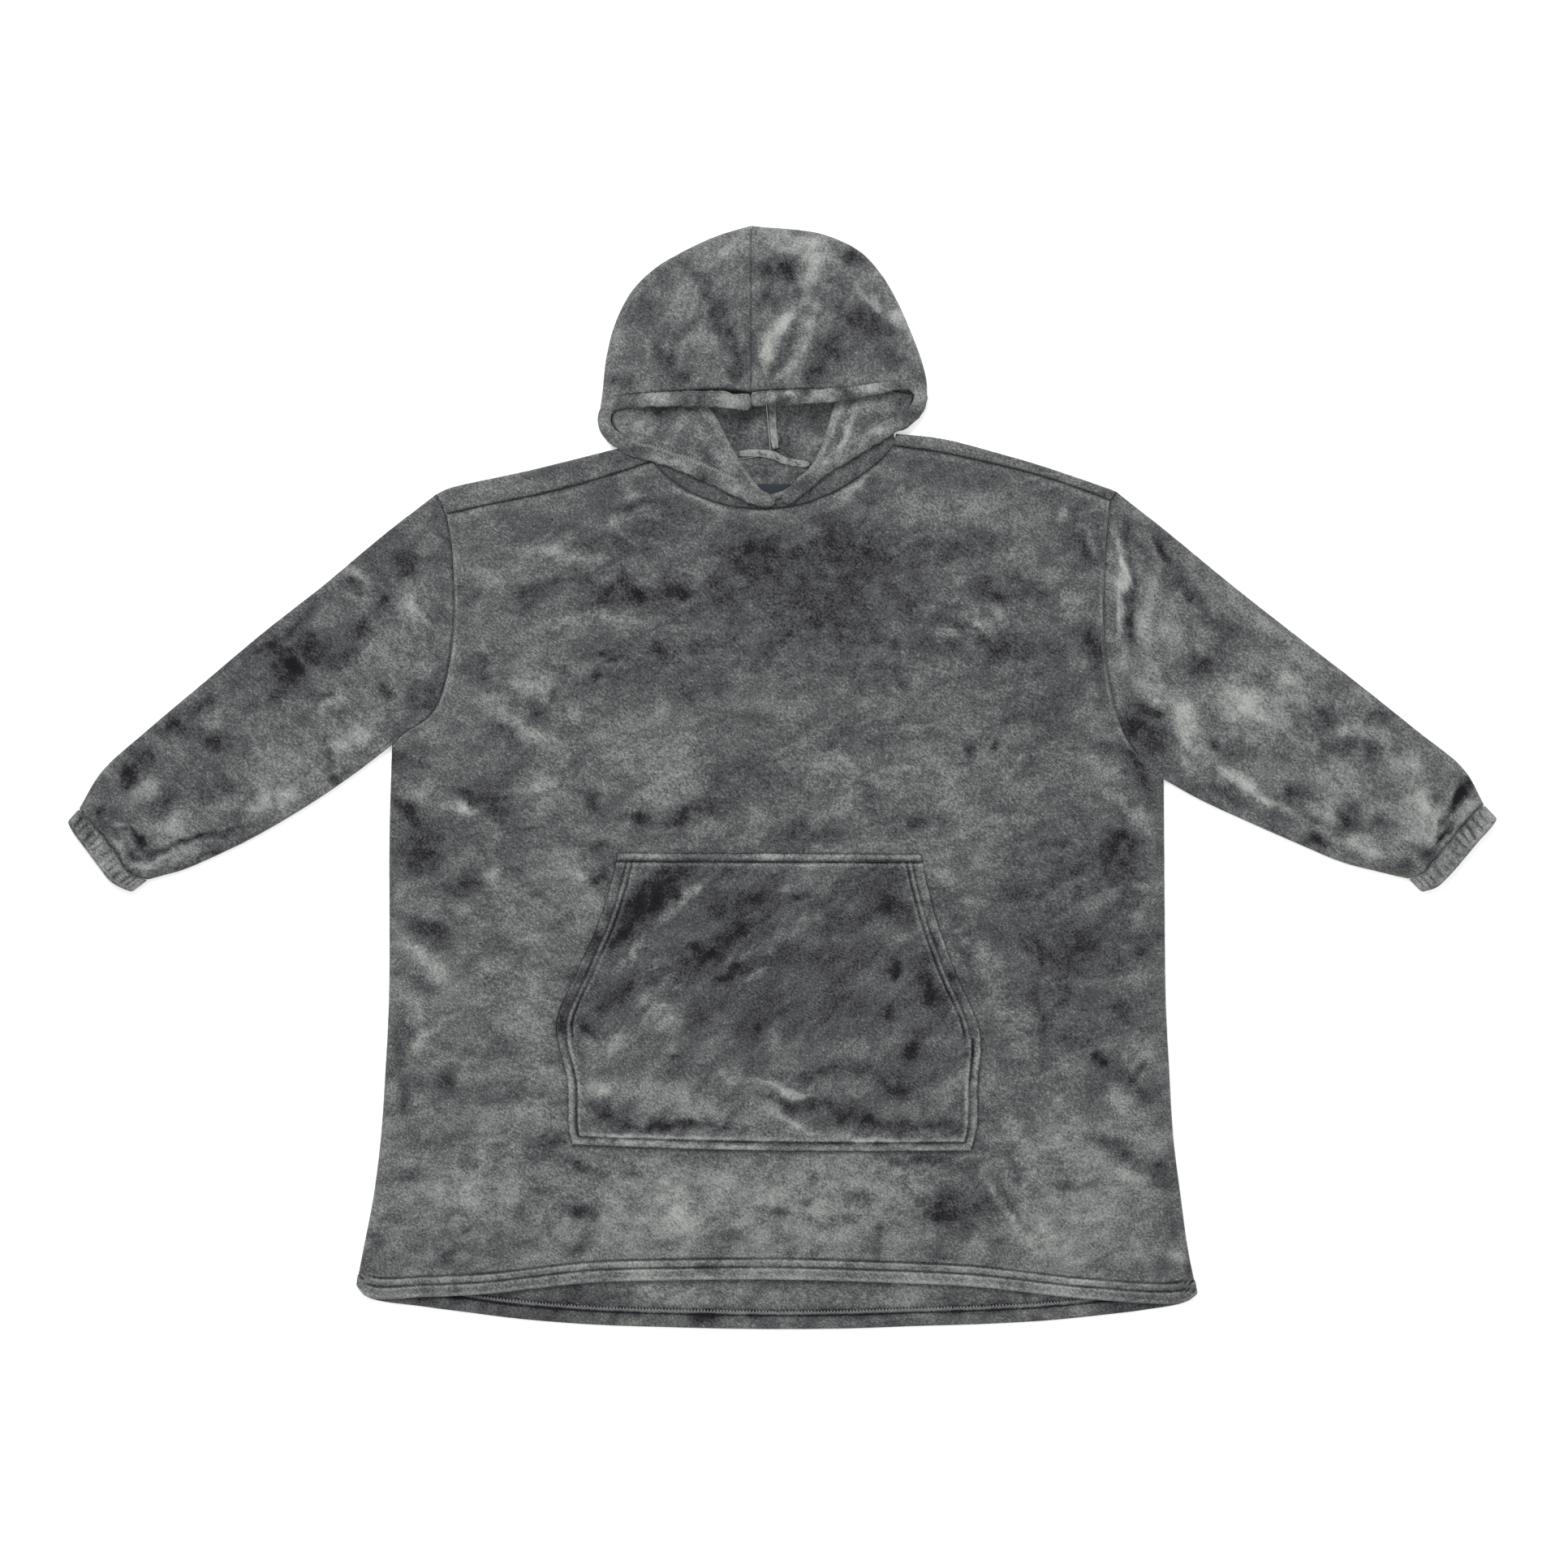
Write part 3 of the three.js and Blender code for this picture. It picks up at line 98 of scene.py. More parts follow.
# Among these, (303, 232) and (218, -423) are painted highlights on the crests of two ridges in
# FRONT_CREASES, (296, 232) and (227, -423) painted shade beside them, and the last four rows painted
# shade in its four small dents.
FRONT_STREAKS = [
    (0, -440, 900, 200, 0, 0.15), (20, 175, 540, 140, 0, -0.17), (330, -60, 140, 240, 0, -0.14),
    (-330, -420, 140, 200, 0, 0.1), (-300, -300, 190, 330, 10, 0.13), (110, 165, 420, 150, -8, -0.07),
    (295, -120, 170, 210, 0, -0.1), (290, -370, 150, 170, 0, 0.06), (-148, 283, 30, 12, -30, 0.4),
    (-153, 256, 70, 12, 8, 0.35), (-93, 276, 80, 10, -22, 0.4), (-146, 270, 60, 12, 0, -0.4),
    (75, 289, 60, 10, 35, 0.35), (-216, 220, 110, 18, -8, 0.4), (-285, 190, 36, 16, -30, 0.35),
    (-308, 180, 30, 30, 0, -0.35), (-242, 180, 90, 22, 12, -0.3), (-176, 178, 22, 20, 0, -0.45),
    (-147, 184, 34, 16, -50, -0.5), (-106, 185, 50, 16, 12, -0.45), (-30, 215, 120, 30, 0, -0.22),
    (-137, 200, 24, 30, 0, 0.3), (-173, 195, 20, 18, 0, 0.3), (-190, 149, 140, 30, 3, 0.3),
    (-160, 117, 50, 7, 0, -0.3), (-68, 147, 100, 26, 0, 0.2), (-117, 131, 40, 9, -65, -0.4),
    (-179, 104, 10, 14, 0, -0.5), (-221, 80, 14, 9, 80, -0.5), (-244, 90, 50, 24, -15, 0.3),
    (-303, 103, 50, 28, -25, -0.3), (-249, 73, 60, 16, -30, -0.35), (-254, 50, 75, 16, -35, 0.4),
    (-266, 37, 30, 14, -60, -0.35), (-205, 62, 26, 12, -70, 0.3), (-119, 62, 24, 22, 0, 0.25),
    (-88, 80, 36, 14, -70, -0.3), (-239, -1, 26, 26, 0, 0.35), (-192, -22, 26, 16, -35, -0.5),
    (-147, -38, 30, 12, 0, -0.4), (-88, -38, 60, 16, 15, -0.5), (-71, -52, 44, 14, 20, 0.35),
    (-30, -32, 40, 14, -35, 0.3), (-308, -19, 40, 16, -35, -0.4), (-310, -35, 30, 16, 0, 0.35),
    (-216, -60, 26, 18, 0, -0.3), (29, -55, 90, 24, 0, -0.3), (186, 230, 110, 24, 0, -0.25),
    (220, 221, 50, 14, 8, 0.2), (278, 256, 14, 10, 0, 0.5), (303, 232, 34, 8, -60, 0.45),
    (296, 232, 40, 9, -62, -0.35), (220, 185, 90, 30, 0, -0.3), (267, 203, 30, 12, -20, 0.25),
    (287, 174, 22, 20, 0, 0.35), (195, 154, 40, 11, -50, 0.4), (213, 158, 34, 9, -52, 0.35),
    (168, 143, 32, 10, -25, 0.4), (172, 154, 30, 9, -40, -0.35), (190, 143, 26, 9, -50, -0.3),
    (220, 131, 80, 16, -5, -0.25), (110, 111, 80, 12, -85, -0.22), (154, 107, 90, 24, 10, 0.12),
    (71, 105, 12, 12, 0, -0.35), (293, 113, 26, 20, -50, 0.25), (304, 83, 26, 10, 55, 0.35),
    (307, 125, 40, 18, -70, -0.35), (305, 55, 36, 20, -60, 0.25), (307, 15, 60, 18, -35, 0.3),
    (357, -1, 70, 26, -60, -0.5), (343, -32, 80, 13, -38, 0.45), (343, -59, 50, 16, 0, -0.45),
    (51, 12, 50, 28, 0, 0.2), (83, -3, 60, 14, -70, -0.3), (123, -37, 80, 14, -5, -0.35),
    (163, 1, 34, 18, -60, 0.25), (238, 10, 60, 10, 60, -0.25), (74, 219, 160, 50, 0, -0.15),
    (-339, -21, 70, 26, -30, 0.45), (-367, -36, 44, 14, -55, -0.45), (-371, 16, 40, 26, 0, -0.3),
    (-309, -30, 30, 12, 0, 0.3), (-357, -82, 50, 40, -30, -0.35), (-310, -104, 44, 30, 20, -0.35),
    (-289, -96, 26, 18, 0, 0.4), (-285, -21, 40, 20, -30, -0.25), (-375, -107, 40, 14, 80, 0.25),
    (-346, -154, 50, 26, -35, -0.45), (-317, -132, 36, 14, -20, 0.25), (-353, -175, 80, 14, -45, 0.35),
    (-360, -200, 50, 18, -40, -0.4), (-362, -246, 60, 16, -75, 0.4), (-376, -261, 70, 12, -85, -0.4),
    (-369, -314, 34, 14, -80, -0.45), (-328, -298, 24, 18, -60, -0.45),
    (-285, -261, 60, 26, -40, -0.25), (-192, -68, 50, 18, -10, -0.4), (-203, -96, 24, 14, 0, 0.4),
    (-182, -96, 16, 12, 0, -0.5), (-246, -116, 34, 8, -3, -0.4), (-267, -164, 70, 10, -20, -0.2),
    (-237, -211, 34, 12, -60, 0.3), (-285, -182, 50, 20, 0, 0.2), (-228, -361, 60, 10, 12, -0.3),
    (-210, -378, 60, 10, -20, -0.25), (-296, -382, 80, 12, 88, 0.15), (-289, -407, 16, 8, 0, -0.35),
    (-364, -396, 40, 12, -8, -0.35), (-328, -428, 10, 18, 0, -0.3), (-400, -453, 20, 20, 0, -0.35),
    (-332, -468, 18, 7, 30, -0.4), (-312, -450, 9, 9, 0, -0.4), (-360, -466, 9, 9, 0, -0.35),
    (-200, -427, 40, 16, -25, -0.3), (-207, -464, 24, 20, 70, -0.3), (-171, -428, 70, 18, 80, 0.25),
    (-326, -354, 26, 14, 0, -0.3), (-276, -368, 24, 14, 0, -0.25), (161, -99, 44, 12, -35, 0.4),
    (188, -123, 22, 10, 0, 0.3), (224, -113, 50, 26, 0, -0.3), (212, -206, 90, 20, -65, 0.3),
    (182, -176, 50, 10, -70, -0.3), (335, -83, 70, 50, -20, -0.45), (356, -107, 34, 10, 5, 0.45),
    (353, -137, 40, 10, 75, 0.35), (356, -164, 36, 18, 0, -0.35), (284, -164, 70, 44, 0, -0.25),
    (341, -200, 50, 26, 0, 0.3), (255, -218, 130, 8, -88, -0.3), (335, -230, 26, 14, -50, -0.3),
    (347, -265, 46, 26, 0, 0.4), (350, -302, 70, 24, -35, -0.45), (313, -278, 24, 14, -60, -0.4),
    (341, -326, 50, 26, -45, 0.4), (335, -366, 50, 14, -18, -0.4), (341, -393, 44, 22, -30, 0.35),
    (375, -396, 44, 16, -60, -0.4), (384, -441, 36, 12, -75, -0.45), (356, -471, 40, 14, -70, 0.3),
    (390, -474, 16, 12, 0, 0.4), (402, -481, 24, 10, -70, -0.35), (281, -402, 24, 9, -15, -0.45),
    (275, -336, 110, 40, 88, 0.15), (227, -423, 70, 9, -58, -0.45), (218, -423, 110, 8, -53, 0.4),
    (194, -417, 70, 36, -50, -0.35), (213, -462, 20, 12, 0, -0.35), (230, -351, 60, 12, -70, 0.2),
    (229, -390, 50, 10, -65, -0.3), (178, -383, 30, 14, 0, -0.4), (158, -426, 30, 30, 0, -0.25),
    (269, -459, 50, 24, -45, 0.25), (-79, -430, 240, 80, 0, 0.2), (-86, -409, 22, 9, -30, -0.6),
    (20, -420, 14, 9, 30, -0.55), (-3, -430, 18, 9, -60, -0.6), (75, -411, 40, 18, -20, -0.45),
    (-84, -426, 20, 9, 0, -0.3), (-106, -422, 36, 6, 0, -0.25), (-147, -395, 14, 9, 0, -0.35),
    (-193, -430, 30, 14, -30, -0.35), (-55, -449, 20, 14, 0, -0.3), (6, -469, 20, 12, 0, -0.4),
    (43, -449, 60, 28, 0, 0.25), (160, -430, 60, 40, -50, -0.35), (118, -393, 50, 9, -25, 0.3),
    (96, -444, 14, 10, 0, -0.4), (93, -462, 30, 10, 85, -0.25), (25, -396, 24, 10, 60, -0.3),
    (128, -380, 110, 10, -4, -0.35), (-193, -385, 50, 10, -18, -0.35), (-73, -485, 24, 9, 0, -0.3),
    (9, -489, 14, 9, 0, -0.3), (159, -474, 34, 10, -15, -0.45), (184, 33, 15, 13, 0, -0.6),
    (211, 34, 13, 11, 0, -0.5), (313, -271, 13, 13, 0, -0.6), (350, -277, 13, 13, 0, -0.6),
]


def smooth(t):
    """A share from 0 to 1 that starts and ends gently."""
    return t * t * (3 - 2 * t)


def ramp(value, start, end):
    """0 before start, 1 after end, and a gentle rise between them."""
    return smooth(np.clip((value - start) / (end - start), 0, 1))


def curve(points, at):
    """A smooth line through the points, at shares of the way counted from row to row."""
    p = np.array(points, float)
    padded = np.vstack([2 * p[0] - p[1], p, 2 * p[-1] - p[-2]])
    s = np.clip(np.asarray(at, float), 0, 1) * (len(p) - 1)
    k = np.minimum(s.astype(int), len(p) - 2)
    w = (s - k)[:, None]
    a, b, c, d = (padded[k + i] for i in range(4))
    ab, bc, cd = (np.sqrt(np.maximum(np.linalg.norm(q - r, axis=1, keepdims=True), 1e-6))
                  for q, r in ((a, b), (b, c), (c, d)))
    m1 = bc * ((b - a) / ab - (c - a) / (ab + bc) + (c - b) / bc)
    m2 = bc * ((c - b) / bc - (d - b) / (bc + cd) + (d - c) / cd)
    return b + m1 * w + (-3 * b + 3 * c - 2 * m1 - m2) * w ** 2 + (2 * b - 2 * c + m1 + m2) * w ** 3


def lengths(grid, axis=0):
    """Distances run along an axis of a grid of points, from its first row or column."""
    steps = np.linalg.norm(np.diff(grid, axis=axis), axis=-1)
    start = np.zeros_like(np.take(steps, [0], axis=axis))
    return np.concatenate([start, np.cumsum(steps, axis=axis)], axis=axis)


def along_line(line, distances):
    """Points at distances along a line."""
    return np.stack([np.interp(distances, lengths(line), axis) for axis in line.T], axis=1)


def stepped(line, count, bias=1.0):
    """A line cut into steps of one length, or shorter at first where bias is above 1."""
    return along_line(line, np.linspace(0, 1, count) ** bias * lengths(line)[-1])


def even(points, count, bias=1.0):
    """The smooth line through the points, cut into steps of one length."""
    return stepped(curve(points, np.linspace(0, 1, 60 * len(points))), count, bias)


def patch(low, high, left, right):
    """Fills the space between four edges that share their corners, in rows from low to high."""
    share = lambda line: lengths(line) / lengths(line)[-1]
    u, top = share(low)[None], share(high)[None]
    v, w = share(left)[:, None], share(right)[:, None]
    rise = v + (w - v) * u
    run = (u + (top - u) * rise)[..., None]
    rise = rise[..., None]
    sides = low[None] * (1 - rise) + high[None] * rise + left[:, None] * (1 - run) + right[:, None] * run
    low_corners, high_corners = (line[0] * (1 - run) + line[-1] * run for line in (low, high))
    return sides - (low_corners * (1 - rise) + high_corners * rise)


def spaced(grid, marks, count, both=False):
    """The same surface with rows at the marked distances from its first row, and count even rows
    after them. With both, the marks are kept at the last row too."""
    marks = np.asarray(marks, float)
    made = []
    for line, last in zip(grid.swapaxes(0, 1), lengths(grid)[-1]):
        end = last - marks[::-1] if both else [last]
        at = np.concatenate([marks, np.linspace(marks[-1], end[0], count + 1)[1:-1], end])
        made.append(along_line(line, at))
    return np.stack(made, axis=1)


def wobble(x, y, size, seed):
    """Smooth random waves from -1 to 1, about size apart, the same on every run."""
    lattice = np.random.default_rng(seed).uniform(-1, 1, (64, 64))
    u, v = x / size + 31.7, y / size + 17.3
    i, j = np.floor(u).astype(int), np.floor(v).astype(int)
    s, t = smooth(u - i), smooth(v - j)
    corner = lambda p, q: lattice[(i + p) % 64, (j + q) % 64]
    near = corner(0, 0) * (1 - s) + corner(1, 0) * s
    far = corner(0, 1) * (1 - s) + corner(1, 1) * s
    return near * (1 - t) + far * t


def bumps(rows, x, y, edge=1.0):
    """The sum of long soft bumps, one for each row of a table. Their sides are steeper as edge rises."""
    total = np.zeros_like(x)
    for bx, by, length, width, angle, height in rows:
        turn = np.radians(angle)
        along = ((x - bx) * np.cos(turn) + (y - by) * np.sin(turn)) / (length / 2)
        across = ((y - by) * np.cos(turn) - (x - bx) * np.sin(turn)) / (width / 2)
        total += height * np.exp(-(1.2 * along ** 2 + across ** 2) ** edge)
    return total


def pile_and_shading_streaks(rows, x, y, seed=3):
    """Streaks of tone: bumps whose edges are drawn out of line the way a hand brushes the pile. Most are
    the pile's own patches; some are painted highlights and painted shade along folds, ridges and creases.
    """
    dx = 5 * wobble(x, y, 34, seed) + 4 * wobble(x, y, 13, seed + 1) + 2.5 * wobble(x, y, 7, seed + 2)
    dy = 5 * wobble(x, y, 34, seed + 3) + 4 * wobble(x, y, 13, seed + 4) + 2.5 * wobble(x, y, 7, seed + 5)
    patchy = 0.85 + 0.5 * wobble(x, y, 9, seed + 6)
    return 0.95 * patchy * bumps(rows, x + dx, y + dy, 1.4)


def relief(x, y, seed):
    """The small unevenness of cloth that has been laid out by hand."""
    return 0.35 * wobble(x, y, 48, seed) + 0.16 * wobble(x, y, 19, seed + 7)


def line_at(distance, place, width):
    """A soft line: 1 where the distance is at its place, fading away over its width."""
    return np.exp(-((distance - place) / width) ** 2)


def pucker(distance):
    """How the cloth is drawn down at a seam and fills out again beside it."""
    return 0.4 * line_at(distance, 9, 6) - 1.2 * line_at(distance, 0, 1.9)


def tufted(mid, seed):
    """A share of the cloth's thickness that lets its pile stand a little unevenly."""
    return 1 + 0.1 * wobble(mid[..., 0], mid[..., 1] + mid[..., 2], 6, seed)


def rounded(distance, reach=1.8, least=0.3):
    """A share of the cloth's thickness that rounds off its edge."""
    t = np.clip(distance / reach, 0, 1)
    return least + (1 - least) * np.sqrt(1 - (1 - t) ** 2)


def turned_hem(distance, stitches, rise):
    """How far a turned hem stands proud, with a groove along each row of stitches."""
    proud = 1 - ramp(distance, stitches[-1], stitches[-1] + 2.5)
    groove = sum(line_at(distance, row, 0.8) for row in stitches)
    return rise * proud - (rise + 0.35) * groove


def unit(v):
    """Directions of length 1."""
    return v / np.linalg.norm(v, axis=-1, keepdims=True)


def raised(plan, z):
    """Points of a plan set at their heights."""
    return np.concatenate([plan, np.broadcast_to(z, plan.shape[:-1])[..., None]], axis=-1)


def level_out(points, way=1):
    """The outward direction of a level layer at each point: up, or down where way is -1."""
    return np.broadcast_to([0.0, 0.0, way], (*points.shape[:2], 3))


def round_edge(edge, inward, low, high, angles, half=HALF):
    """Points round a folded edge, from -90 degrees (the layer below) to 90 (the layer above)."""
    a = np.radians(angles)
    low, high = (np.broadcast_to(level, edge.shape[:1])[:, None] for level in (low, high))
    radius = (high - low) / 2
    back = (half + radius * (1 - np.cos(a)))[..., None]
    mid = raised(edge[:, None] + inward[:, None] * back, (low + high) / 2 + radius * np.sin(a))
    out = -inward[:, None] * np.cos(a)[None, :, None]
    return mid, raised(out, np.sin(a)[None])


def wall(mid, out, outer, inner, wrap=False, present=None):
    """A closed wall of cloth round a grid of points, from outer above them to inner below."""
    rows, columns = mid.shape[:2]
    points = np.stack([mid + out * outer[..., None], mid - out * inner[..., None]]).reshape(-1, 3)
    i, j = np.mgrid[0:rows - 1, 0:columns - (not wrap)]
    there = np.ones(i.shape, bool) if present is None else present
    at = lambda down, right, under: (i + down) * columns + (j + right) % columns + under * rows * columns
    padded = np.pad(there, 1)
    if wrap:
        padded[1:-1, 0], padded[1:-1, -1] = there[:, -1], there[:, 0]
    open_sides = [
        (~padded[:-2, 1:-1], (0, 0), (0, 1)), (~padded[2:, 1:-1], (1, 1), (1, 0)),
        (~padded[1:-1, :-2], (1, 0), (0, 0)), (~padded[1:-1, 2:], (0, 1), (1, 1)),
    ]
    quads = [
        np.stack([at(0, 0, 0), at(0, 1, 0), at(1, 1, 0), at(1, 0, 0)], -1)[there],
        np.stack([at(0, 0, 1), at(1, 0, 1), at(1, 1, 1), at(0, 1, 1)], -1)[there],
    ]
    for is_open, a, b in open_sides:
        quads.append(np.stack([at(*a, 0), at(*a, 1), at(*b, 1), at(*b, 0)], -1)[there & is_open])
    return points, np.concatenate(quads)


def piece(name, points, quads, material, tone=None):
    """Makes an object of the faces, turned to face out, with a tone at each point: the pile's own
    patches, and painted shade and highlights along seams, folds and creases.
    """
    a, b, c, d = (points[quads[:, k]] for k in range(4))
    volume = np.einsum("ij,ij->i", a, np.cross(b, c) + np.cross(c, d)).sum()
    if volume < 0:
        quads = quads[:, ::-1]
    used, quads = np.unique(quads, return_inverse=True)
    quads = quads.reshape(-1, 4)
    mesh = bpy.data.meshes.new(name)
    mesh.from_pydata((points[used] * 0.001).tolist(), [], quads.tolist())
    nap_and_shading = mesh.attributes.new("nap_and_shading", "FLOAT", "POINT")
    tones = np.zeros(len(points)) if tone is None else tone
    nap_and_shading.data.foreach_set("value", tones[used].astype(np.float32))
    mesh.shade_smooth()
    mesh.materials.append(material)
    made = bpy.data.objects.new(name, mesh)
    bpy.context.collection.objects.link(made)
    return made


def linear(colour):
    """An sRGB hex colour as the linear numbers that a shader takes."""
    channels = [int(colour[k:k + 2], 16) / 255 for k in (1, 3, 5)]
    return [c / 12.92 if c <= 0.04045 else ((c + 0.055) / 1.055) ** 2.4 for c in channels] + [1.0]


def add(tree, kind, inputs, **settings):
    """Adds a node with its settings, and a value or another node's output for each input."""
    made = tree.nodes.new(kind)
    for name, value in settings.items():
        setattr(made, name, value)
    for name, value in inputs.items():
        if isinstance(value, bpy.types.NodeSocket):
            tree.links.new(value, made.inputs[name])
        else:
            made.inputs[name].default_value = value
    return made


# The pile lies over in patches, so that it is dark where it leans to the light and pale where it
# leans away. These are the sizes of the patches, from a palm's width down to a tuft of fibres, with
# how much each changes the tone. A fibre is 0.02 mm thick, so its grain is drawn 50 times as coarse.
PATCHES = [
    (110, 0.14, 0.5), (48, 0.15, 1.2), (23, 0.13, 1.4), (11, 0.09, 1.0), (5.5, 0.1, 0.3),
    (1.8, 0.75, 0.0),
]
FIBRE_GRAIN = 1.1
FIBRE_WEIGHT = 1.1
GRAIN_ANGLE = -38
FLEECE_TONES = ["#0e0e11", "#201f23", "#545556", "#8c8f8c", "#a4a7a4"]  # from dark to pale


def plush(name, seed, brush_angle=0.0, stretch=1.0, tone=0.5):
    """Brushed polyester plush: matt, with a soft pale sheen where the fibres' sides catch the light."""
    made = bpy.data.materials.new(name)
    made.use_nodes = True
    tree = made.node_tree
    tree.nodes.clear()
    place = add(tree, "ShaderNodeTexCoord", {}).outputs["Object"]
    along = add(tree, "ShaderNodeMapping", {
        "Vector": place, "Location": (0.37 * seed, 0.61 * seed, 0.13 * seed),
        "Rotation": (0, 0, np.radians(brush_angle)), "Scale": (stretch, 1, 1),
    }, vector_type="TEXTURE").outputs["Vector"]
    grain = add(tree, "ShaderNodeMapping", {
        "Vector": place, "Rotation": (0, 0, np.radians(GRAIN_ANGLE)), "Scale": (1.7, 1, 1),
    }, vector_type="TEXTURE").outputs["Vector"]
    # The attribute read here holds each piece's tone: the pile's patches, with painted shade and
    # highlights along seams, folds and creases.
    nap_and_shading = add(tree, "ShaderNodeAttribute", {}, attribute_name="nap_and_shading").outputs["Fac"]
    half_swing = sum(weight for _, weight, _ in PATCHES) / 2 + FIBRE_WEIGHT / 2
    total = add(tree, "ShaderNodeMath", {0: nap_and_shading, 1: tone - half_swing}, operation="ADD").outputs[0]
    heights = []
    for size, weight, swirl in PATCHES:
        noise = add(tree, "ShaderNodeTexNoise", {
            "Vector": along if size > 4 else grain, "Scale": 1000 / size,
            "Detail": 0.6 if size > 20 else 1.5, "Roughness": 0.5, "Distortion": swirl,
        }).outputs["Fac"]
        if size > 8:
            noise = add(tree, "ShaderNodeMapRange", {
                "Value": noise, "From Min": 0.36, "From Max": 0.64,
            }, interpolation_type="SMOOTHSTEP").outputs["Result"]
        total = add(tree, "ShaderNodeMath", {
            0: noise, 1: weight, 2: total,
        }, operation="MULTIPLY_ADD").outputs[0]
        heights.append(noise)
    fibres = add(tree, "ShaderNodeTexNoise", {
        "Vector": grain, "Scale": 1000 / FIBRE_GRAIN, "Detail": 1.0, "Roughness": 0.6,
    }).outputs["Fac"]
    total = add(tree, "ShaderNodeMath", {
        0: fibres, 1: FIBRE_WEIGHT, 2: total,
    }, operation="MULTIPLY_ADD").outputs[0]
    share = add(tree, "ShaderNodeMapRange", {
        "Value": total, "From Min": -0.25, "From Max": 1.25,
    }).outputs["Result"]
    tones = add(tree, "ShaderNodeValToRGB", {"Fac": share})
    tones.color_ramp.elements[0].color = linear(FLEECE_TONES[0])
    tones.color_ramp.elements[1].color = linear(FLEECE_TONES[-1])
    for position, tone_colour in zip((0.167, 0.5, 0.833), FLEECE_TONES[1:-1]):
        tones.color_ramp.elements.new(position).color = linear(tone_colour)
    tuft = add(tree, "ShaderNodeMath", {
        0: heights[-1], 1: 0.8, 2: fibres,
    }, operation="MULTIPLY_ADD").outputs[0]
    pile = add(tree, "ShaderNodeBump", {
        "Height": tuft, "Strength": 0.45, "Distance": 0.0009,
    }).outputs["Normal"]
    surface = add(tree, "ShaderNodeBsdfPrincipled", {
        "Base Color": tones.outputs["Color"], "Roughness": 0.95, "Specular IOR Level": 0.15,
        "Sheen Weight": 0.35, "Sheen Roughness": 0.5, "Sheen Tint": linear("#c9cdcd"), "Normal": pile,
    }).outputs["BSDF"]
    add(tree, "ShaderNodeOutputMaterial", {"Surface": surface})
    return made


def away_from(line, into):
    """Directions square to a line in plan: to the left where into is -1, to the right where it is 1."""
    along = unit(np.gradient(line, axis=0))
    across = np.stack([-along[:, 1], along[:, 0]], axis=1)
    return across * np.sign(across[:, :1]) * into


def beside(armhole, into):
    """A line half the seam's gap away from an armhole."""
    return armhole + away_from(armhole, into) * SEAM_GAP / 2


FLAT_MARKS = np.array([0, 0.5, 1.2, 2.1, 3.1, 4.1, 5])  # points beside an armhole
SIDE_ANGLES = np.array([6, 20, 34, 48, 62, 76, 90])  # points round a side seam, in degrees
SIDE_POINTS = len(FLAT_MARKS)


def panel_points(plan, level, own, other, arm, angles):
    """A body panel's points and outward directions. Its outer columns turn round the side seams, or
    lie flat beside the armholes in the rows where arm is 1. own is the height at which it lies, and
    other that of the panel it is sewn to."""
    low, high = min(own, other), max(own, other)
    way = np.sign(own - other)
    ends = []
    for edge, beyond in ((plan[:, 0], plan[:, 1]), (plan[:, -1], plan[:, -2])):
        inward = unit(beyond - edge)
        mid, out = round_edge(edge, inward, low, high, angles)
        room = np.linalg.norm(beyond - edge, axis=1)[:, None]
        flat = FLAT_MARKS * np.minimum(1, 0.94 * room / FLAT_MARKS[-1])
        lying = raised(edge[:, None] + inward[:, None] * flat[..., None], own)
        lying[..., 2] += way * pucker(flat)
        blend = arm[:, None, None]
        blended_out = unit(out * (1 - blend) + level_out(out, way) * blend)
        ends.append((mid * (1 - blend) + lying * blend, blended_out))
    (left_mid, left_out), (right_mid, right_out) = ends
    mid = np.concatenate([left_mid, raised(plan, level)[:, 1:-1], right_mid[:, ::-1]], axis=1)
    out = np.concatenate([left_out, level_out(plan, way)[:, 1:-1], right_out[:, ::-1]], axis=1)
    return mid, out


def widened(values):
    """Repeats a grid's outer columns, to go with panel_points."""
    first, last = (np.repeat(side, SIDE_POINTS, axis=1) for side in (values[:, :1], values[:, -1:]))
    return np.concatenate([first, values[:, 1:-1], last], axis=1)


def cut_area(*lines):
    """The area inside an outline, in square metres."""
    x, y = np.concatenate(lines).T * 0.001
    return abs(np.dot(x, np.roll(y, -1)) - np.dot(y, np.roll(x, -1))) / 2


BODY_COLUMNS = 193
ARMHOLE_POINTS = 70
SIDE_LINE_POINTS = 120
arm_left, arm_right = even(LEFT_ARMHOLE, ARMHOLE_POINTS), even(RIGHT_ARMHOLE, ARMHOLE_POINTS)
side_left, side_right = even(LEFT_SIDE, SIDE_LINE_POINTS), even(RIGHT_SIDE, SIDE_LINE_POINTS)


def panel_columns(count):
    """A body panel's columns as shares of its width. The side seams take the room at both ends."""
    return np.concatenate([[0], np.linspace(0.009, 0.991, count - 2), [1]])


def underarm_line(columns):
    """The line from one underarm point to the other, where a panel's lower and upper parts meet."""
    return arm_left[0] + (arm_right[0] - arm_left[0]) * columns[:, None]


def hem_line(table, columns):
    """A hem at a panel's columns."""
    x = LEFT_SIDE[0][0] + (RIGHT_SIDE[0][0] - LEFT_SIDE[0][0]) * columns
    return np.stack([x, np.interp(x, *curve(table, np.linspace(0, 1, 600)).T)], axis=1)


def panel_plan(hem, top, left, right, columns, hem_marks, lower_rows, upper_rows):
    """A body panel's plan in rows from its hem to its top, and 1 for the rows beside the armholes."""
    underarm = underarm_line(columns)
    lower = spaced(patch(hem, underarm, side_left, side_right), hem_marks, lower_rows)
    upper = spaced(patch(underarm, top, left, right)[::-1], SEAM_MARKS, upper_rows)[::-1]
    plan = np.concatenate([lower, upper[1:]])
    return plan, ramp(np.arange(len(plan)), len(lower) - 1, len(lower) + 5)


def shares_across(plan):
    """How far across its row each point lies, from 0 to 1."""
    run = lengths(plan, axis=1)
    return run / run[:, -1:]


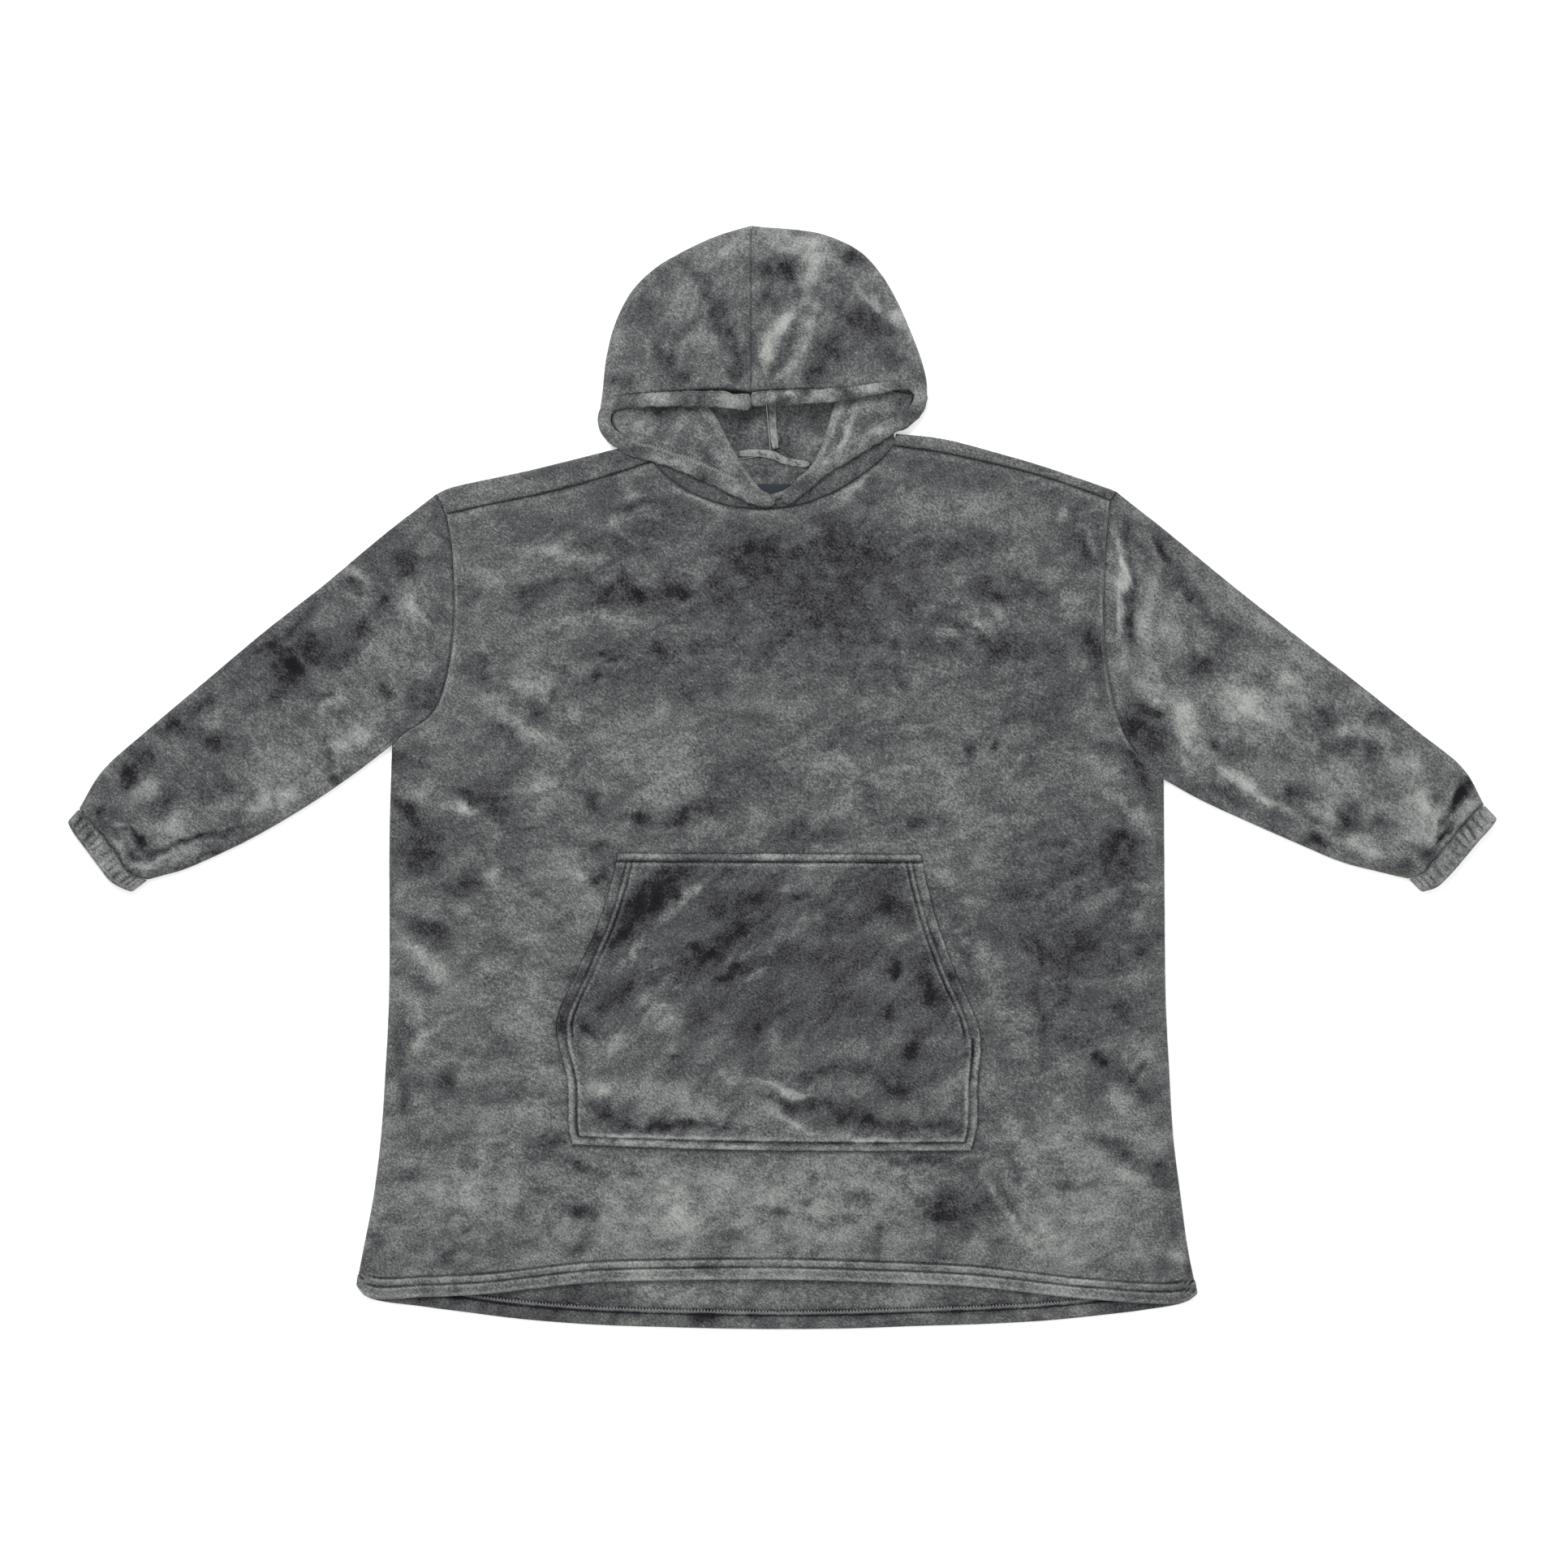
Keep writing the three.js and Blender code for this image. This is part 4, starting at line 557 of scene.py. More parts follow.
columns = panel_columns(BODY_COLUMNS)
underarm = underarm_line(columns)
top_line = np.concatenate([
    even(LEFT_SHOULDER_SEAM, 60)[:-1], even(FRONT_NECK, 74)[:-1], even(RIGHT_SHOULDER_SEAM, 61),
]) - [0, SEAM_GAP / 2]
left_edge, right_edge = beside(arm_left, 1), beside(arm_right, -1)
left_edge[0], left_edge[-1] = underarm[0], top_line[0]
right_edge[0], right_edge[-1] = underarm[-1], top_line[-1]
front_hem = hem_line(FRONT_HEM, columns)
plan, arm = panel_plan(
    front_hem, top_line, left_edge, right_edge, columns, HEM_MARKS, lower_rows=120, upper_rows=64)
from_hem = lengths(plan)
from_top = from_hem[-1] - from_hem
across = shares_across(plan)


def front_height(x, y):
    """The height of the middle of the front's cloth, away from its seams."""
    return TOP_MID + LOFT + bumps(FRONT_CREASES, x, y) + relief(x, y, 11)


rise = ramp(np.sin(np.pi * across) * 2.2, 0, 1)
ends = ramp(from_hem, 0, 100) * ramp(from_top, 0, 60)
full = front_height(plan[..., 0], plan[..., 1]) - TOP_MID - LOFT
width = np.minimum(across, 1 - across) * lengths(plan, axis=1)[:, -1:]
level = TOP_MID + rise * (LOFT * (0.35 + 0.65 * ends) + full * ends)
level += pucker(from_top) + pucker(width) * arm[:, None]
mid, out = panel_points(plan, level, TOP_MID, FLOOR_MID, arm, SIDE_ANGLES)
# The hem's fold runs up into the corners, while its stitches keep straight on
corner = np.interp(columns, [0, 0.0133, 0.9855, 1], [9, 0, 0, 6.5])
from_fold = widened(from_hem + corner)
from_hem, from_top = widened(from_hem), widened(from_top)
inner = HALF * rounded(np.minimum(from_hem, from_top)) * tufted(mid, 5)
outer = inner + turned_hem(from_fold, HEM_STITCHES, 1.0) * rounded(from_hem, 3, 0.1)
x, y = mid[..., 0], mid[..., 1]
tone = pile_and_shading_streaks(FRONT_STREAKS, x, y)
from_arm = widened(width)
from_arm[:, :SIDE_POINTS], from_arm[:, -SIDE_POINTS:] = FLAT_MARKS, FLAT_MARKS[::-1]
# Painted light and shade along the seams, their strength varied at random: beside each armhole, a painted
# highlight on the ridge 2 mm in and painted shade in the seam.
seam_shading_amount = 0.6 + 0.5 * wobble(x, y, 26, 12)
tone += arm[:, None] * seam_shading_amount * (0.3 * line_at(from_arm, 2, 1.4) - 0.4 * line_at(from_arm, 0, 0.7))
# Painted shade in the shoulder and neck seams, with a faint painted highlight on the ridge beside them.
tone += 0.1 * line_at(from_top, 5, 3) - 0.4 * line_at(from_top, 0, 1.1)
# The hem's band is a little lighter, in patches, with a painted highlight along its fold; each row of
# stitches gets a painted highlight on the ridge before it and painted shade in its groove.
band = 1 - ramp(from_fold, 20, 23)
tone += band * (0.06 + 0.12 * wobble(x, y, 30, 13)) + 0.25 * line_at(from_hem, 2, 2)
for row in HEM_STITCHES:
    tone += 0.25 * line_at(from_fold, row - 2.4, 1.3) - (0.3 + 0.4 * seam_shading_amount) * line_at(from_fold, row, 1.1)
body_fleece = plush("plush_fleece_body", seed=1, brush_angle=8, stretch=1.6)
front = piece("front_panel", *wall(mid, out, outer, inner), body_fleece, np.tile(tone.ravel(), 2))
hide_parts("front")
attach(front, "root")

# Thread
# Spun polyester, 0.35 mm thick and a little darker than the fleece. The stitches sink into the pile,
# so what shows is mostly the groove, with a short dark stitch lying in it.

THREAD = 0.35
STITCH = 3.0
STITCH_PITCH = 3.7


def spun_thread(name, dark, light):
    """Spun polyester sewing thread, its twist seen as fine darker turns."""
    made = bpy.data.materials.new(name)
    made.use_nodes = True
    tree = made.node_tree
    shader = tree.nodes["Principled BSDF"]
    place = add(tree, "ShaderNodeTexCoord", {}).outputs["Object"]
    # One turn of the twist each 0.35 mm
    twist = add(tree, "ShaderNodeTexWave", {
        "Vector": place, "Scale": 900.0, "Distortion": 1.0,
    }).outputs["Fac"]
    strands = add(tree, "ShaderNodeValToRGB", {"Fac": twist})
    strands.color_ramp.elements[0].color = linear(dark)
    strands.color_ramp.elements[1].color = linear(light)
    tree.links.new(strands.outputs["Color"], shader.inputs["Base Color"])
    shader.inputs["Roughness"].default_value = 0.6
    return made


dark_thread = spun_thread("spun_polyester_thread", "#2b2b2e", "#4d4e50")
pale_thread = spun_thread("textured_overlock_thread", "#6d6f6e", "#a3a5a2")


def stitches(starts, ends, radius=THREAD / 2):
    """A short round-ended thread from each start to each end."""
    forward = unit(ends - starts)
    side = unit(np.cross(forward, [0, 0, 1]))
    up = np.cross(side, forward)
    turn = np.radians(np.arange(0, 360, 60))
    ring = side[:, None] * np.cos(turn)[None, :, None] + up[:, None] * np.sin(turn)[None, :, None]
    middles = (starts + ends) / 2
    places = [
        (starts, -0.4, 0.5), (starts, 0.6, 1), (middles, 0, 1.15), (ends, -0.6, 1), (ends, 0.4, 0.5),
    ]
    rings = np.stack([
        (place + forward * shift * radius)[:, None] + ring * radius * size
        for place, shift, size in places
    ], axis=1)
    count, rows = rings.shape[:2]
    k, i, j = np.mgrid[0:count, 0:rows - 1, 0:6]
    at = lambda down, right: (k * rows + i + down) * 6 + (j + right) % 6
    sides = np.stack([at(0, 0), at(0, 1), at(1, 1), at(1, 0)], -1).reshape(-1, 4)
    first = np.arange(count)[:, None] * rows * 6
    last = first + (rows - 1) * 6
    caps = [first + [3, 2, 1, 0], first + [5, 4, 3, 0], last + [0, 1, 2, 3], last + [0, 3, 4, 5]]
    return rings.reshape(-1, 3), np.concatenate([sides, *caps])


def running_stitch(line):
    """A row of straight stitches along a line."""
    starts = np.arange(1, lengths(line)[-1] - STITCH, STITCH_PITCH)
    return stitches(along_line(line, starts), along_line(line, starts + STITCH))


def join(*parts):
    """One list of points and one of faces from several."""
    starts = np.cumsum([0] + [len(points) for points, _ in parts])
    faces = [quads + start for (_, quads), start in zip(parts, starts)]
    return np.concatenate([points for points, _ in parts]), np.concatenate(faces)


def cover_stitch(line, width=4.6, pitch=3.2, radius=0.34):
    """The zigzag of a cover stitch, with a straight row of thread along each side of it."""
    at = np.arange(1, lengths(line)[-1] - pitch, pitch / 2)
    place = along_line(line, at)
    forward = unit((along_line(line, at + 0.6) - along_line(line, at - 0.6)) * [1, 1, 0])
    across = np.stack([-forward[:, 1], forward[:, 0], np.zeros(len(at))], axis=1)
    corners = place + across * (np.where(np.arange(len(at)) % 2, 1, -1) * width / 2)[:, None]
    rows = [place + across * side * width / 2 for side in (-1, 1)]
    zigzag = stitches(corners[:-1], corners[1:], radius)
    straight = [stitches(row[:-2:2], row[2::2] - 0.2 * (row[2::2] - row[:-2:2])) for row in rows]
    return join(zigzag, *straight)


def sewn_on(slot, name, *parts, thread=dark_thread):
    """One object for the threads that go with a piece of cloth."""
    made = piece(name, *join(*parts), thread)
    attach(made, "root")


hem_threads = []
for row in HEM_STITCHES:
    face = (mid + out * outer[..., None])[HEM_MARKS.index(row)]
    hem_threads.append(running_stitch(face[9:-9] + [0, 0, 0.05]))
sewn_on("body_fleece", "front_hem_stitches", *hem_threads)

# The pocket
# A pouch of the same fleece with a slanted opening for each hand. The openings' edges are turned in
# and stitched first, then the top, bottom and short sides are turned under and stitched to the front.

LEFT_POCKET_SIDE = [
    (-163, -74), (-166, -92), (-181, -142), (-203, -192), (-223, -240), (-221, -262), (-212, -300),
    (-211, -345), (-207, -362),
]
RIGHT_POCKET_SIDE = [
    (137, -75), (140, -92), (153, -142), (171, -192), (193, -243), (196, -264), (193, -302),
    (192, -345), (186, -368),
]
POCKET_SAG = 3
POCKET_STITCH = 8.6
OPENING_STITCHES = (10.2, 16.4)
POCKET_MARKS = [
    0, 0.4, 1, 2, 3.6, 5.6, 7.2, 8, 8.6, 9.3, 10.2, 11.2, 12.6, 14.4, 15.6, 16.4, 17.2, 18.6, 21,
]
POCKET_LINE_POINTS = 120
POCKET_CREASES = [
    (-120, -150, 170, 30, 45, 1.6), (-40, -170, 190, 32, 38, 1.3), (-60, -300, 250, 30, -14, 1.5),
    (110, -250, 150, 34, -60, 1.1),
]
POCKET_STREAKS = [
    (-130, -120, 100, 34, 45, -0.4), (-91, -112, 34, 10, 35, 0.6), (-115, -135, 40, 9, 48, 0.35),
    (-149, -174, 44, 10, 40, 0.35), (-161, -158, 44, 10, 50, -0.3), (-46, -125, 80, 30, 20, -0.4),
    (-81, -174, 60, 24, 10, -0.45), (-43, -152, 56, 18, 35, -0.4), (13, -108, 36, 9, 30, 0.45),
    (17, -118, 30, 8, 25, -0.4), (11, -149, 110, 13, 33, 0.3), (-30, -194, 30, 10, 25, 0.5),
    (-46, -178, 34, 8, 15, 0.3), (-52, -193, 50, 10, 35, -0.35), (-125, -213, 44, 10, 25, 0.4),
    (-160, -209, 70, 18, 40, -0.35), (-187, -252, 22, 8, -45, -0.5), (-188, -235, 24, 12, -20, 0.2),
    (-161, -260, 30, 16, 55, 0.4), (-111, -236, 50, 26, -20, 0.25), (-7, -255, 26, 24, 0, 0.3),
    (-27, -251, 20, 20, 0, -0.3), (113, -131, 50, 26, -30, -0.45), (66, -129, 26, 16, 60, 0.3),
    (146, -209, 56, 18, -60, -0.35), (107, -186, 30, 12, -80, -0.35), (107, -232, 16, 12, 0, -0.4),
    (112, -159, 30, 12, 0, 0.25), (131, -268, 26, 20, -50, -0.45), (65, -293, 150, 18, 0, -0.25),
    (-46, -296, 70, 10, -8, 0.3), (5, -309, 70, 8, -18, 0.55), (32, -324, 90, 14, -8, -0.5),
    (8, -339, 60, 8, -32, 0.55), (-106, -317, 120, 30, -12, 0.35), (-184, -308, 30, 16, -10, 0.45),
    (-97, -340, 110, 9, -3, -0.5), (-173, -328, 60, 14, -25, -0.35), (-143, -352, 110, 7, -2, 0.4),
    (92, -355, 170, 7, -2, 0.35), (105, -340, 160, 12, -4, -0.4), (116, -309, 50, 14, -10, -0.35),
    (167, -306, 50, 26, 80, 0.2), (-16, -78, 30, 6, 0, 0.3), (-140, -76, 30, 6, 0, 0.2),
    (-192, -160, 30, 12, 65, -0.3), (-93, -174, 8, 8, 0, 0.4), (-26, -136, 8, 8, 0, 0.3),
    (-111, -278, 14, 8, -30, -0.5), (-120, -227, 22, 5, 15, 0.3), (143, -128, 70, 9, -65, 0.25),
]
pocket_left, pocket_right = (
    even(side, POCKET_LINE_POINTS) for side in (LEFT_POCKET_SIDE, RIGHT_POCKET_SIDE))
share = np.linspace(0, 1, POCKET_LINE_POINTS)[:, None]
pocket_top = pocket_left[0] * (1 - share) + pocket_right[0] * share
pocket_bottom = pocket_left[-1] * (1 - share) + pocket_right[-1] * share
pocket_bottom[:, 1] -= POCKET_SAG * np.sin(np.pi * share[:, 0])
plan = patch(pocket_top, pocket_bottom, pocket_left, pocket_right)
plan = spaced(plan, POCKET_MARKS, 96, both=True)
plan = spaced(plan.swapaxes(0, 1), POCKET_MARKS, 136, both=True).swapaxes(0, 1)
x, y = plan[..., 0], plan[..., 1]
down, right = lengths(plan), lengths(plan, axis=1)
from_top, from_bottom = down, down[-1] - down
from_side = np.minimum(right, right[:, -1:] - right)
opening = ramp(y, -262, -250) * ramp(from_top, 1, 7)
sewn_edge = np.minimum(from_top, from_bottom)
edge = np.minimum(sewn_edge, from_side)
dome = smooth(np.clip(edge / 45, 0, 1))
level = front_height(x, y) + CLOTH + 0.45 + 1.1 * dome + ramp(edge, 6, 30) * bumps(POCKET_CREASES, x, y)
level += 0.9 * opening * line_at(from_side, 0, 18) + ramp(edge, 4, 20) * relief(x, y, 23)
outer = HALF * rounded(edge, 2.6, 0.1)
outer += turned_hem(from_top, (8.2,), 0.6) + turned_hem(from_bottom, (POCKET_STITCH,), 0.6)
outer += (1 - opening) * turned_hem(from_side, (POCKET_STITCH,), 0.6) * ramp(sewn_edge, 7, 9)
outer += opening * turned_hem(from_side, OPENING_STITCHES, 0.9) * ramp(sewn_edge, 8, 10)
outer = np.maximum(outer, -0.7)
inner = np.full_like(outer, HALF)
tone = pile_and_shading_streaks(POCKET_STREAKS, x, y, 31)
# Painted light and shade along the pocket's edges, their strength varied at random: a painted shadow line
# round its outline, painted highlights on the ridges of its turned edges and openings, and painted shade
# in their stitch grooves.
turned = np.minimum(sewn_edge, np.where(opening > 0.5, 99, from_side))
seam_shading_amount = 0.7 + 0.5 * wobble(x, y, 22, 32)
tone += seam_shading_amount * (0.35 * line_at(turned, 3, 2.4) - 0.7 * line_at(turned, POCKET_STITCH, 1.2))
tone += 0.35 * (1.6 - seam_shading_amount) * line_at(turned, 11.4, 1.8) - 0.6 * line_at(edge, 0, 0.7)
band = opening * ramp(sewn_edge, 6, 9)
tone += band * seam_shading_amount * (0.25 * line_at(from_side, 2, 1.4) - 0.35 * line_at(from_side, 10.2, 1.3))
tone += band * (1.6 - seam_shading_amount) * (0.3 * line_at(from_side, 12.6, 1.3) - 0.35 * line_at(from_side, 16.2, 1))
tone += band * (0.2 * line_at(from_side, 18.6, 1.6) + 0.3 * wobble(x, y, 12, 33) * (from_side < 10) - 0.1)
tone += 0.12 * np.minimum(0, tone)
up = level_out(plan)
pocket_mid = raised(plan, level)
pocket_fleece = plush("plush_fleece_pocket", seed=2, brush_angle=40, stretch=1.9, tone=0.505)
pocket_faces = wall(pocket_mid, up, outer, inner)
pocket = piece("pocket_pouch", *pocket_faces, pocket_fleece, np.tile(tone.ravel(), 2))
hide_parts("pocket")
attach(pocket, "root")
pocket_face = pocket_mid + up * outer[..., None]
stitch_at = POCKET_MARKS.index(POCKET_STITCH)
opening_rows = opening[:, 0] > 0.5
opening_column = POCKET_MARKS.index(OPENING_STITCHES[0])
sewn_on(
    "pocket_fleece", "pocket_stitches",
    running_stitch(pocket_face[stitch_at - 1, 3:-3]), running_stitch(pocket_face[-stitch_at - 1, 10:-10]),
    running_stitch(pocket_face[opening_rows, opening_column]),
    running_stitch(pocket_face[opening_rows, -opening_column - 1]),
    running_stitch(pocket_face[~opening_rows, stitch_at][10:-8]),
    running_stitch(pocket_face[~opening_rows, -stitch_at - 1][10:-8]),
)

# The back panel
# One panel with a high neck, longer than the front. It lies on the floor, folds over the shoulders
# and is sewn to the front a little forward of the folds. Its hem shows its inside, cover-stitched.

BACK_NECK = [
    (-128, 326.5), (-98, 320), (-68, 316), (-40, 314.5), (-11.5, 318.5), (6, 311), (26, 307), (56, 311),
    (84, 321), (109, 334.5),
]
BACK_HEM = [
    (-420, -501), (-409, -512.4), (-352, -522), (-314, -527), (-258, -534), (-187, -539.5),
    (-100, -542.5), (-20, -544), (60, -543.5), (134, -541), (198, -539), (261, -535.5), (325, -529),
    (357, -525), (397, -517.4), (409, -509),
]
LEFT_SHOULDER_FOLD = [
    (-341, 279.5), (-328, 285.5), (-300, 292), (-251, 302.5), (-202, 314.5), (-155, 326), (-131, 330.5),
]
RIGHT_SHOULDER_FOLD = [
    (112, 339), (158, 334), (205, 322), (252, 308.5), (297, 293.5), (317, 286.5), (329, 282),
]
BACK_HEM_DEPTH = 16
BACK_HEM_MARKS = [0, 0.5, 1.3, 2.6, 5, 9, 12, 13.4, 14.4, 15.2, 16, 16.8, 18, 20, 24, 29]
BACK_CREASES = [
    (-120, 80, 220, 36, 20, 0.6), (140, 150, 200, 34, -30, 0.5), (-250, -180, 190, 34, 65, 0.6),
    (230, -200, 180, 32, -62, 0.5), (0, -330, 260, 40, 6, 0.5), (60, 0, 150, 30, 48, 0.4),
]
# The first two rows lighten the back where it turns over the shoulders: painted highlights along the
# folds.
BACK_STREAKS = [
    (-200, 290, 260, 30, 14, 0.16), (200, 315, 240, 22, -15, 0.2), (-330, -520, 120, 30, -4, -0.2),
    (330, -522, 120, 26, 4, -0.2), (0, -536, 700, 16, 0, -0.16), (-105, -507, 160, 18, 0, 0.14),
    (-150, -529, 50, 9, 0, -0.3), (-79, -533, 34, 9, 0, -0.35), (-37, -531, 12, 9, 0, 0.35),
    (-28, -534, 12, 9, 0, -0.35), (-6, 300, 90, 60, 0, -0.22), (-180, 120, 160, 60, 35, -0.3),
    (120, 60, 200, 50, -20, 0.3), (240, -140, 150, 70, 60, -0.3), (-120, -160, 220, 60, -15, 0.25),
    (60, -330, 180, 60, 20, -0.25), (-280, -330, 140, 60, 70, 0.25), (20, 210, 120, 40, -10, 0.2),
    (280, 180, 90, 40, 60, 0.2), (-300, -60, 110, 40, -50, -0.25),
]
SHOULDER_COLUMNS = 52
NECK_COLUMNS = 66
left_fold, left_seam, right_fold, right_seam = (
    even(line, SHOULDER_COLUMNS)
    for line in (LEFT_SHOULDER_FOLD, LEFT_SHOULDER_SEAM, RIGHT_SHOULDER_FOLD, RIGHT_SHOULDER_SEAM))
for line in (left_fold, left_seam):
    line[0, 0] += SEAM_GAP / 2
for line in (right_fold, right_seam):
    line[-1, 0] -= SEAM_GAP / 2
neck_x = np.linspace(BACK_NECK[0][0], BACK_NECK[-1][0], NECK_COLUMNS)[1:-1]
neck_line = np.stack([neck_x, np.interp(neck_x, *np.array(BACK_NECK).T) - SEAM_GAP / 2], axis=1)
# The neck's columns have no fold. The filler only keeps their places among the folded ones
filler = np.repeat(left_fold[-1:], len(neck_line), axis=0)
fold_line = np.concatenate([left_fold, filler, right_fold])
seam_line = np.concatenate([left_seam, filler - [0, 20], right_seam])
inward = unit(seam_line - fold_line)
fold_reach = HALF + (TOP_MID - FLOOR_MID) / 2
floor_line = fold_line + inward * fold_reach
floor_line[SHOULDER_COLUMNS:-SHOULDER_COLUMNS] = neck_line
columns = panel_columns(len(floor_line))
underarm = underarm_line(columns)
left_edge = np.concatenate([beside(arm_left, 1), floor_line[:1]])
right_edge = np.concatenate([beside(arm_right, -1), floor_line[-1:]])
left_edge[0], right_edge[0] = underarm[0], underarm[-1]
left_edge, right_edge = stepped(left_edge, ARMHOLE_POINTS), stepped(right_edge, ARMHOLE_POINTS)
back_hem = hem_line(BACK_HEM, columns)
plan, arm = panel_plan(
    back_hem, floor_line, left_edge, right_edge, columns, BACK_HEM_MARKS, lower_rows=96, upper_rows=50)
from_hem = lengths(plan)
from_top = from_hem[-1] - from_hem
middle = ramp(np.sin(np.pi * shares_across(plan)) * 2.2, 0, 1)
middle *= ramp(from_hem, 30, 110) * ramp(from_top, 5, 60)
x, y = plan[..., 0], plan[..., 1]
level = FLOOR_MID + middle * (bumps(BACK_CREASES, x, y) + 0.2 + 0.2 * wobble(x, y, 40, 41))
mid, out = panel_points(plan, level, FLOOR_MID, TOP_MID, arm, -SIDE_ANGLES)
floor_rows = len(plan)
# Rows over the shoulder folds and forward to the seams, for the shoulder columns alone
FOLD_ANGLES = [-60, -30, 0, 30, 60, 90]
over_mid, over_out = round_edge(fold_line, inward, FLOOR_MID, TOP_MID, FOLD_ANGLES)
over_mid, over_out = over_mid.swapaxes(0, 1), over_out.swapaxes(0, 1)
run = np.linalg.norm(seam_line - fold_line, axis=1) - fold_reach - SEAM_GAP / 2
to_seam = np.array([0.25, 0.5, 0.7, 0.82, 0.9, 0.96, 1])[:, None] * run
forward_plan = over_mid[-1, :, :2] + inward * to_seam[..., None]
forward_mid = raised(forward_plan, TOP_MID + pucker(run - to_seam))
over_mid = np.concatenate([over_mid, forward_mid])
over_out = np.concatenate([over_out, level_out(forward_mid)])
FAR = 999.0  # the distance of an edge that doesn't matter


def with_side_points(values):
    """The shoulder rows with as many points at their ends as panel_points gives the rows below."""
    way_in = 0.94 * (FLAT_MARKS / FLAT_MARKS[-1])[None, :, None]
    first = values[:, :1] + (values[:, 1:2] - values[:, :1]) * way_in
    last = values[:, -1:] + (values[:, -2:-1] - values[:, -1:]) * way_in
    return np.concatenate([first, values[:, 1:-1], last[:, ::-1]], axis=1)


mid = np.concatenate([mid, with_side_points(over_mid)])
out = np.concatenate([out, unit(with_side_points(over_out))])
from_hem = np.concatenate([widened(from_hem), np.full((len(over_mid), mid.shape[1]), FAR)])
to_edge = np.full((floor_rows, mid.shape[1]), FAR)
over_to_edge = np.concatenate([np.full((len(FOLD_ANGLES), len(run)), FAR), run - to_seam])
before_neck = SHOULDER_COLUMNS + SIDE_POINTS - 1
to_edge[:, before_neck:-before_neck] = widened(from_top)[:, before_neck:-before_neck]
to_edge = np.concatenate([to_edge, widened(over_to_edge)])
tufts = tufted(mid, 6)
edge = np.minimum(from_hem, to_edge)
outer = HALF * rounded(edge) * np.where(mid[..., 2] < FLOOR_MID + 1, 1, tufts)
inner = HALF * rounded(edge) * tufts
inner += turned_hem(from_hem, (BACK_HEM_DEPTH,), 0.9) * rounded(from_hem, 3, 0.1)
x, y = mid[..., 0], mid[..., 1]
# Painted shade along the neck and shoulder seams.
tone = pile_and_shading_streaks(BACK_STREAKS, x, y, 45) - 0.4 * line_at(to_edge, 0, 1.1)
tone += 0.12 * wobble(x, y, 13, 46) * (from_hem < 40)
# Painted shade along the cover stitch's two rows, where the thread sinks into the pile.
tone -= 0.75 * sum(line_at(from_hem, BACK_HEM_DEPTH + off, 1.1) for off in (-2.6, 2.6))
present = np.ones((len(mid) - 1, mid.shape[1] - 1), bool)
present[floor_rows - 1:, before_neck - 1:1 - before_neck] = False
back_faces = wall(mid, out, outer, inner, present=present)
back = piece("back_panel", *back_faces, body_fleece, np.tile(tone.ravel(), 2))
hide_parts("back")
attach(back, "root")
hem_row = BACK_HEM_MARKS.index(BACK_HEM_DEPTH)
hem_face = (mid - out * inner[..., None])[hem_row, 12:-12]
sewn_on("body_fleece", "back_hem_cover_stitch", cover_stitch(hem_face + [0, 0, 0.25]), thread=pale_thread)

# The sleeves
# Each is one piece of fleece seamed along its lower edge, sewn into the armhole and laid flat as a
# tube. The cuff's elastic draws its end into small folds that fan out up the sleeve.

LEFT_SLEEVE_TOP = [
    (-341, 279.5), (-394, 238.5), (-452, 190), (-513, 142), (-570, 94), (-627, 46), (-671, 6),
    (-693.3, -30.5),
]
LEFT_SLEEVE_UNDER = [
    (-385, 32), (-420, 5), (-470, -29), (-525, -61), (-567, -81), (-592, -91.5), (-612, -97),
    (-625, -100.6),
]
RIGHT_SLEEVE_TOP = [
    (329, 282), (384, 238.5), (443, 190), (504, 142), (566, 94), (626, 46), (672, 8), (691.9, -27),
]
RIGHT_SLEEVE_UNDER = [
    (376, -2), (412, -22), (462, -45), (512, -67), (553, -84), (588, -93), (604, -97), (617, -99.6),
]
LEFT_CUFF_SEAM = [
    (-693.3, -30.5), (-686.3, -40.5), (-676, -51), (-665, -64.5), (-655, -77), (-647.5, -90),
    (-638.5, -97.5), (-625, -100.6),
]
RIGHT_CUFF_SEAM = [
    (691.9, -27), (685, -32.5), (674.5, -42.5), (663, -56.5), (652, -70), (641, -84), (631, -95),
    (617, -99.6),
]
SLEEVE_CREASES = [
    (-560, -52, 150, 26, 22, 1.6), (-630, -52, 80, 24, -50, 1.6), (-455, 110, 130, 34, 60, 1.0),
    (338, 200, 130, 22, -86, 1.4), (372, 170, 140, 26, -78, 1.0), (640, -20, 100, 26, 60, 1.7),
    (520, -20, 170, 32, -32, 1.0), (657, -40, 110, 11, 66, -2.2), (648, -38, 70, 15, 62, 1.2),
    (672, -44, 80, 13, 62, 1.0), (-637, -61, 36, 11, -38, -1.8), (-647, -56, 30, 13, -50, 1.3),
    (-650, -74, 36, 12, -52, 1.2), (-628, -88, 38, 10, -5, 1.0), (-590, -66, 84, 7, 18, -1.8),
    (-592, -75, 84, 11, 18, 1.0), (335, 206, 64, 12, -82, 1.2), (334, 162, 60, 11, 83, 1.0),
    (345, 172, 90, 12, -88, -1.0),
]
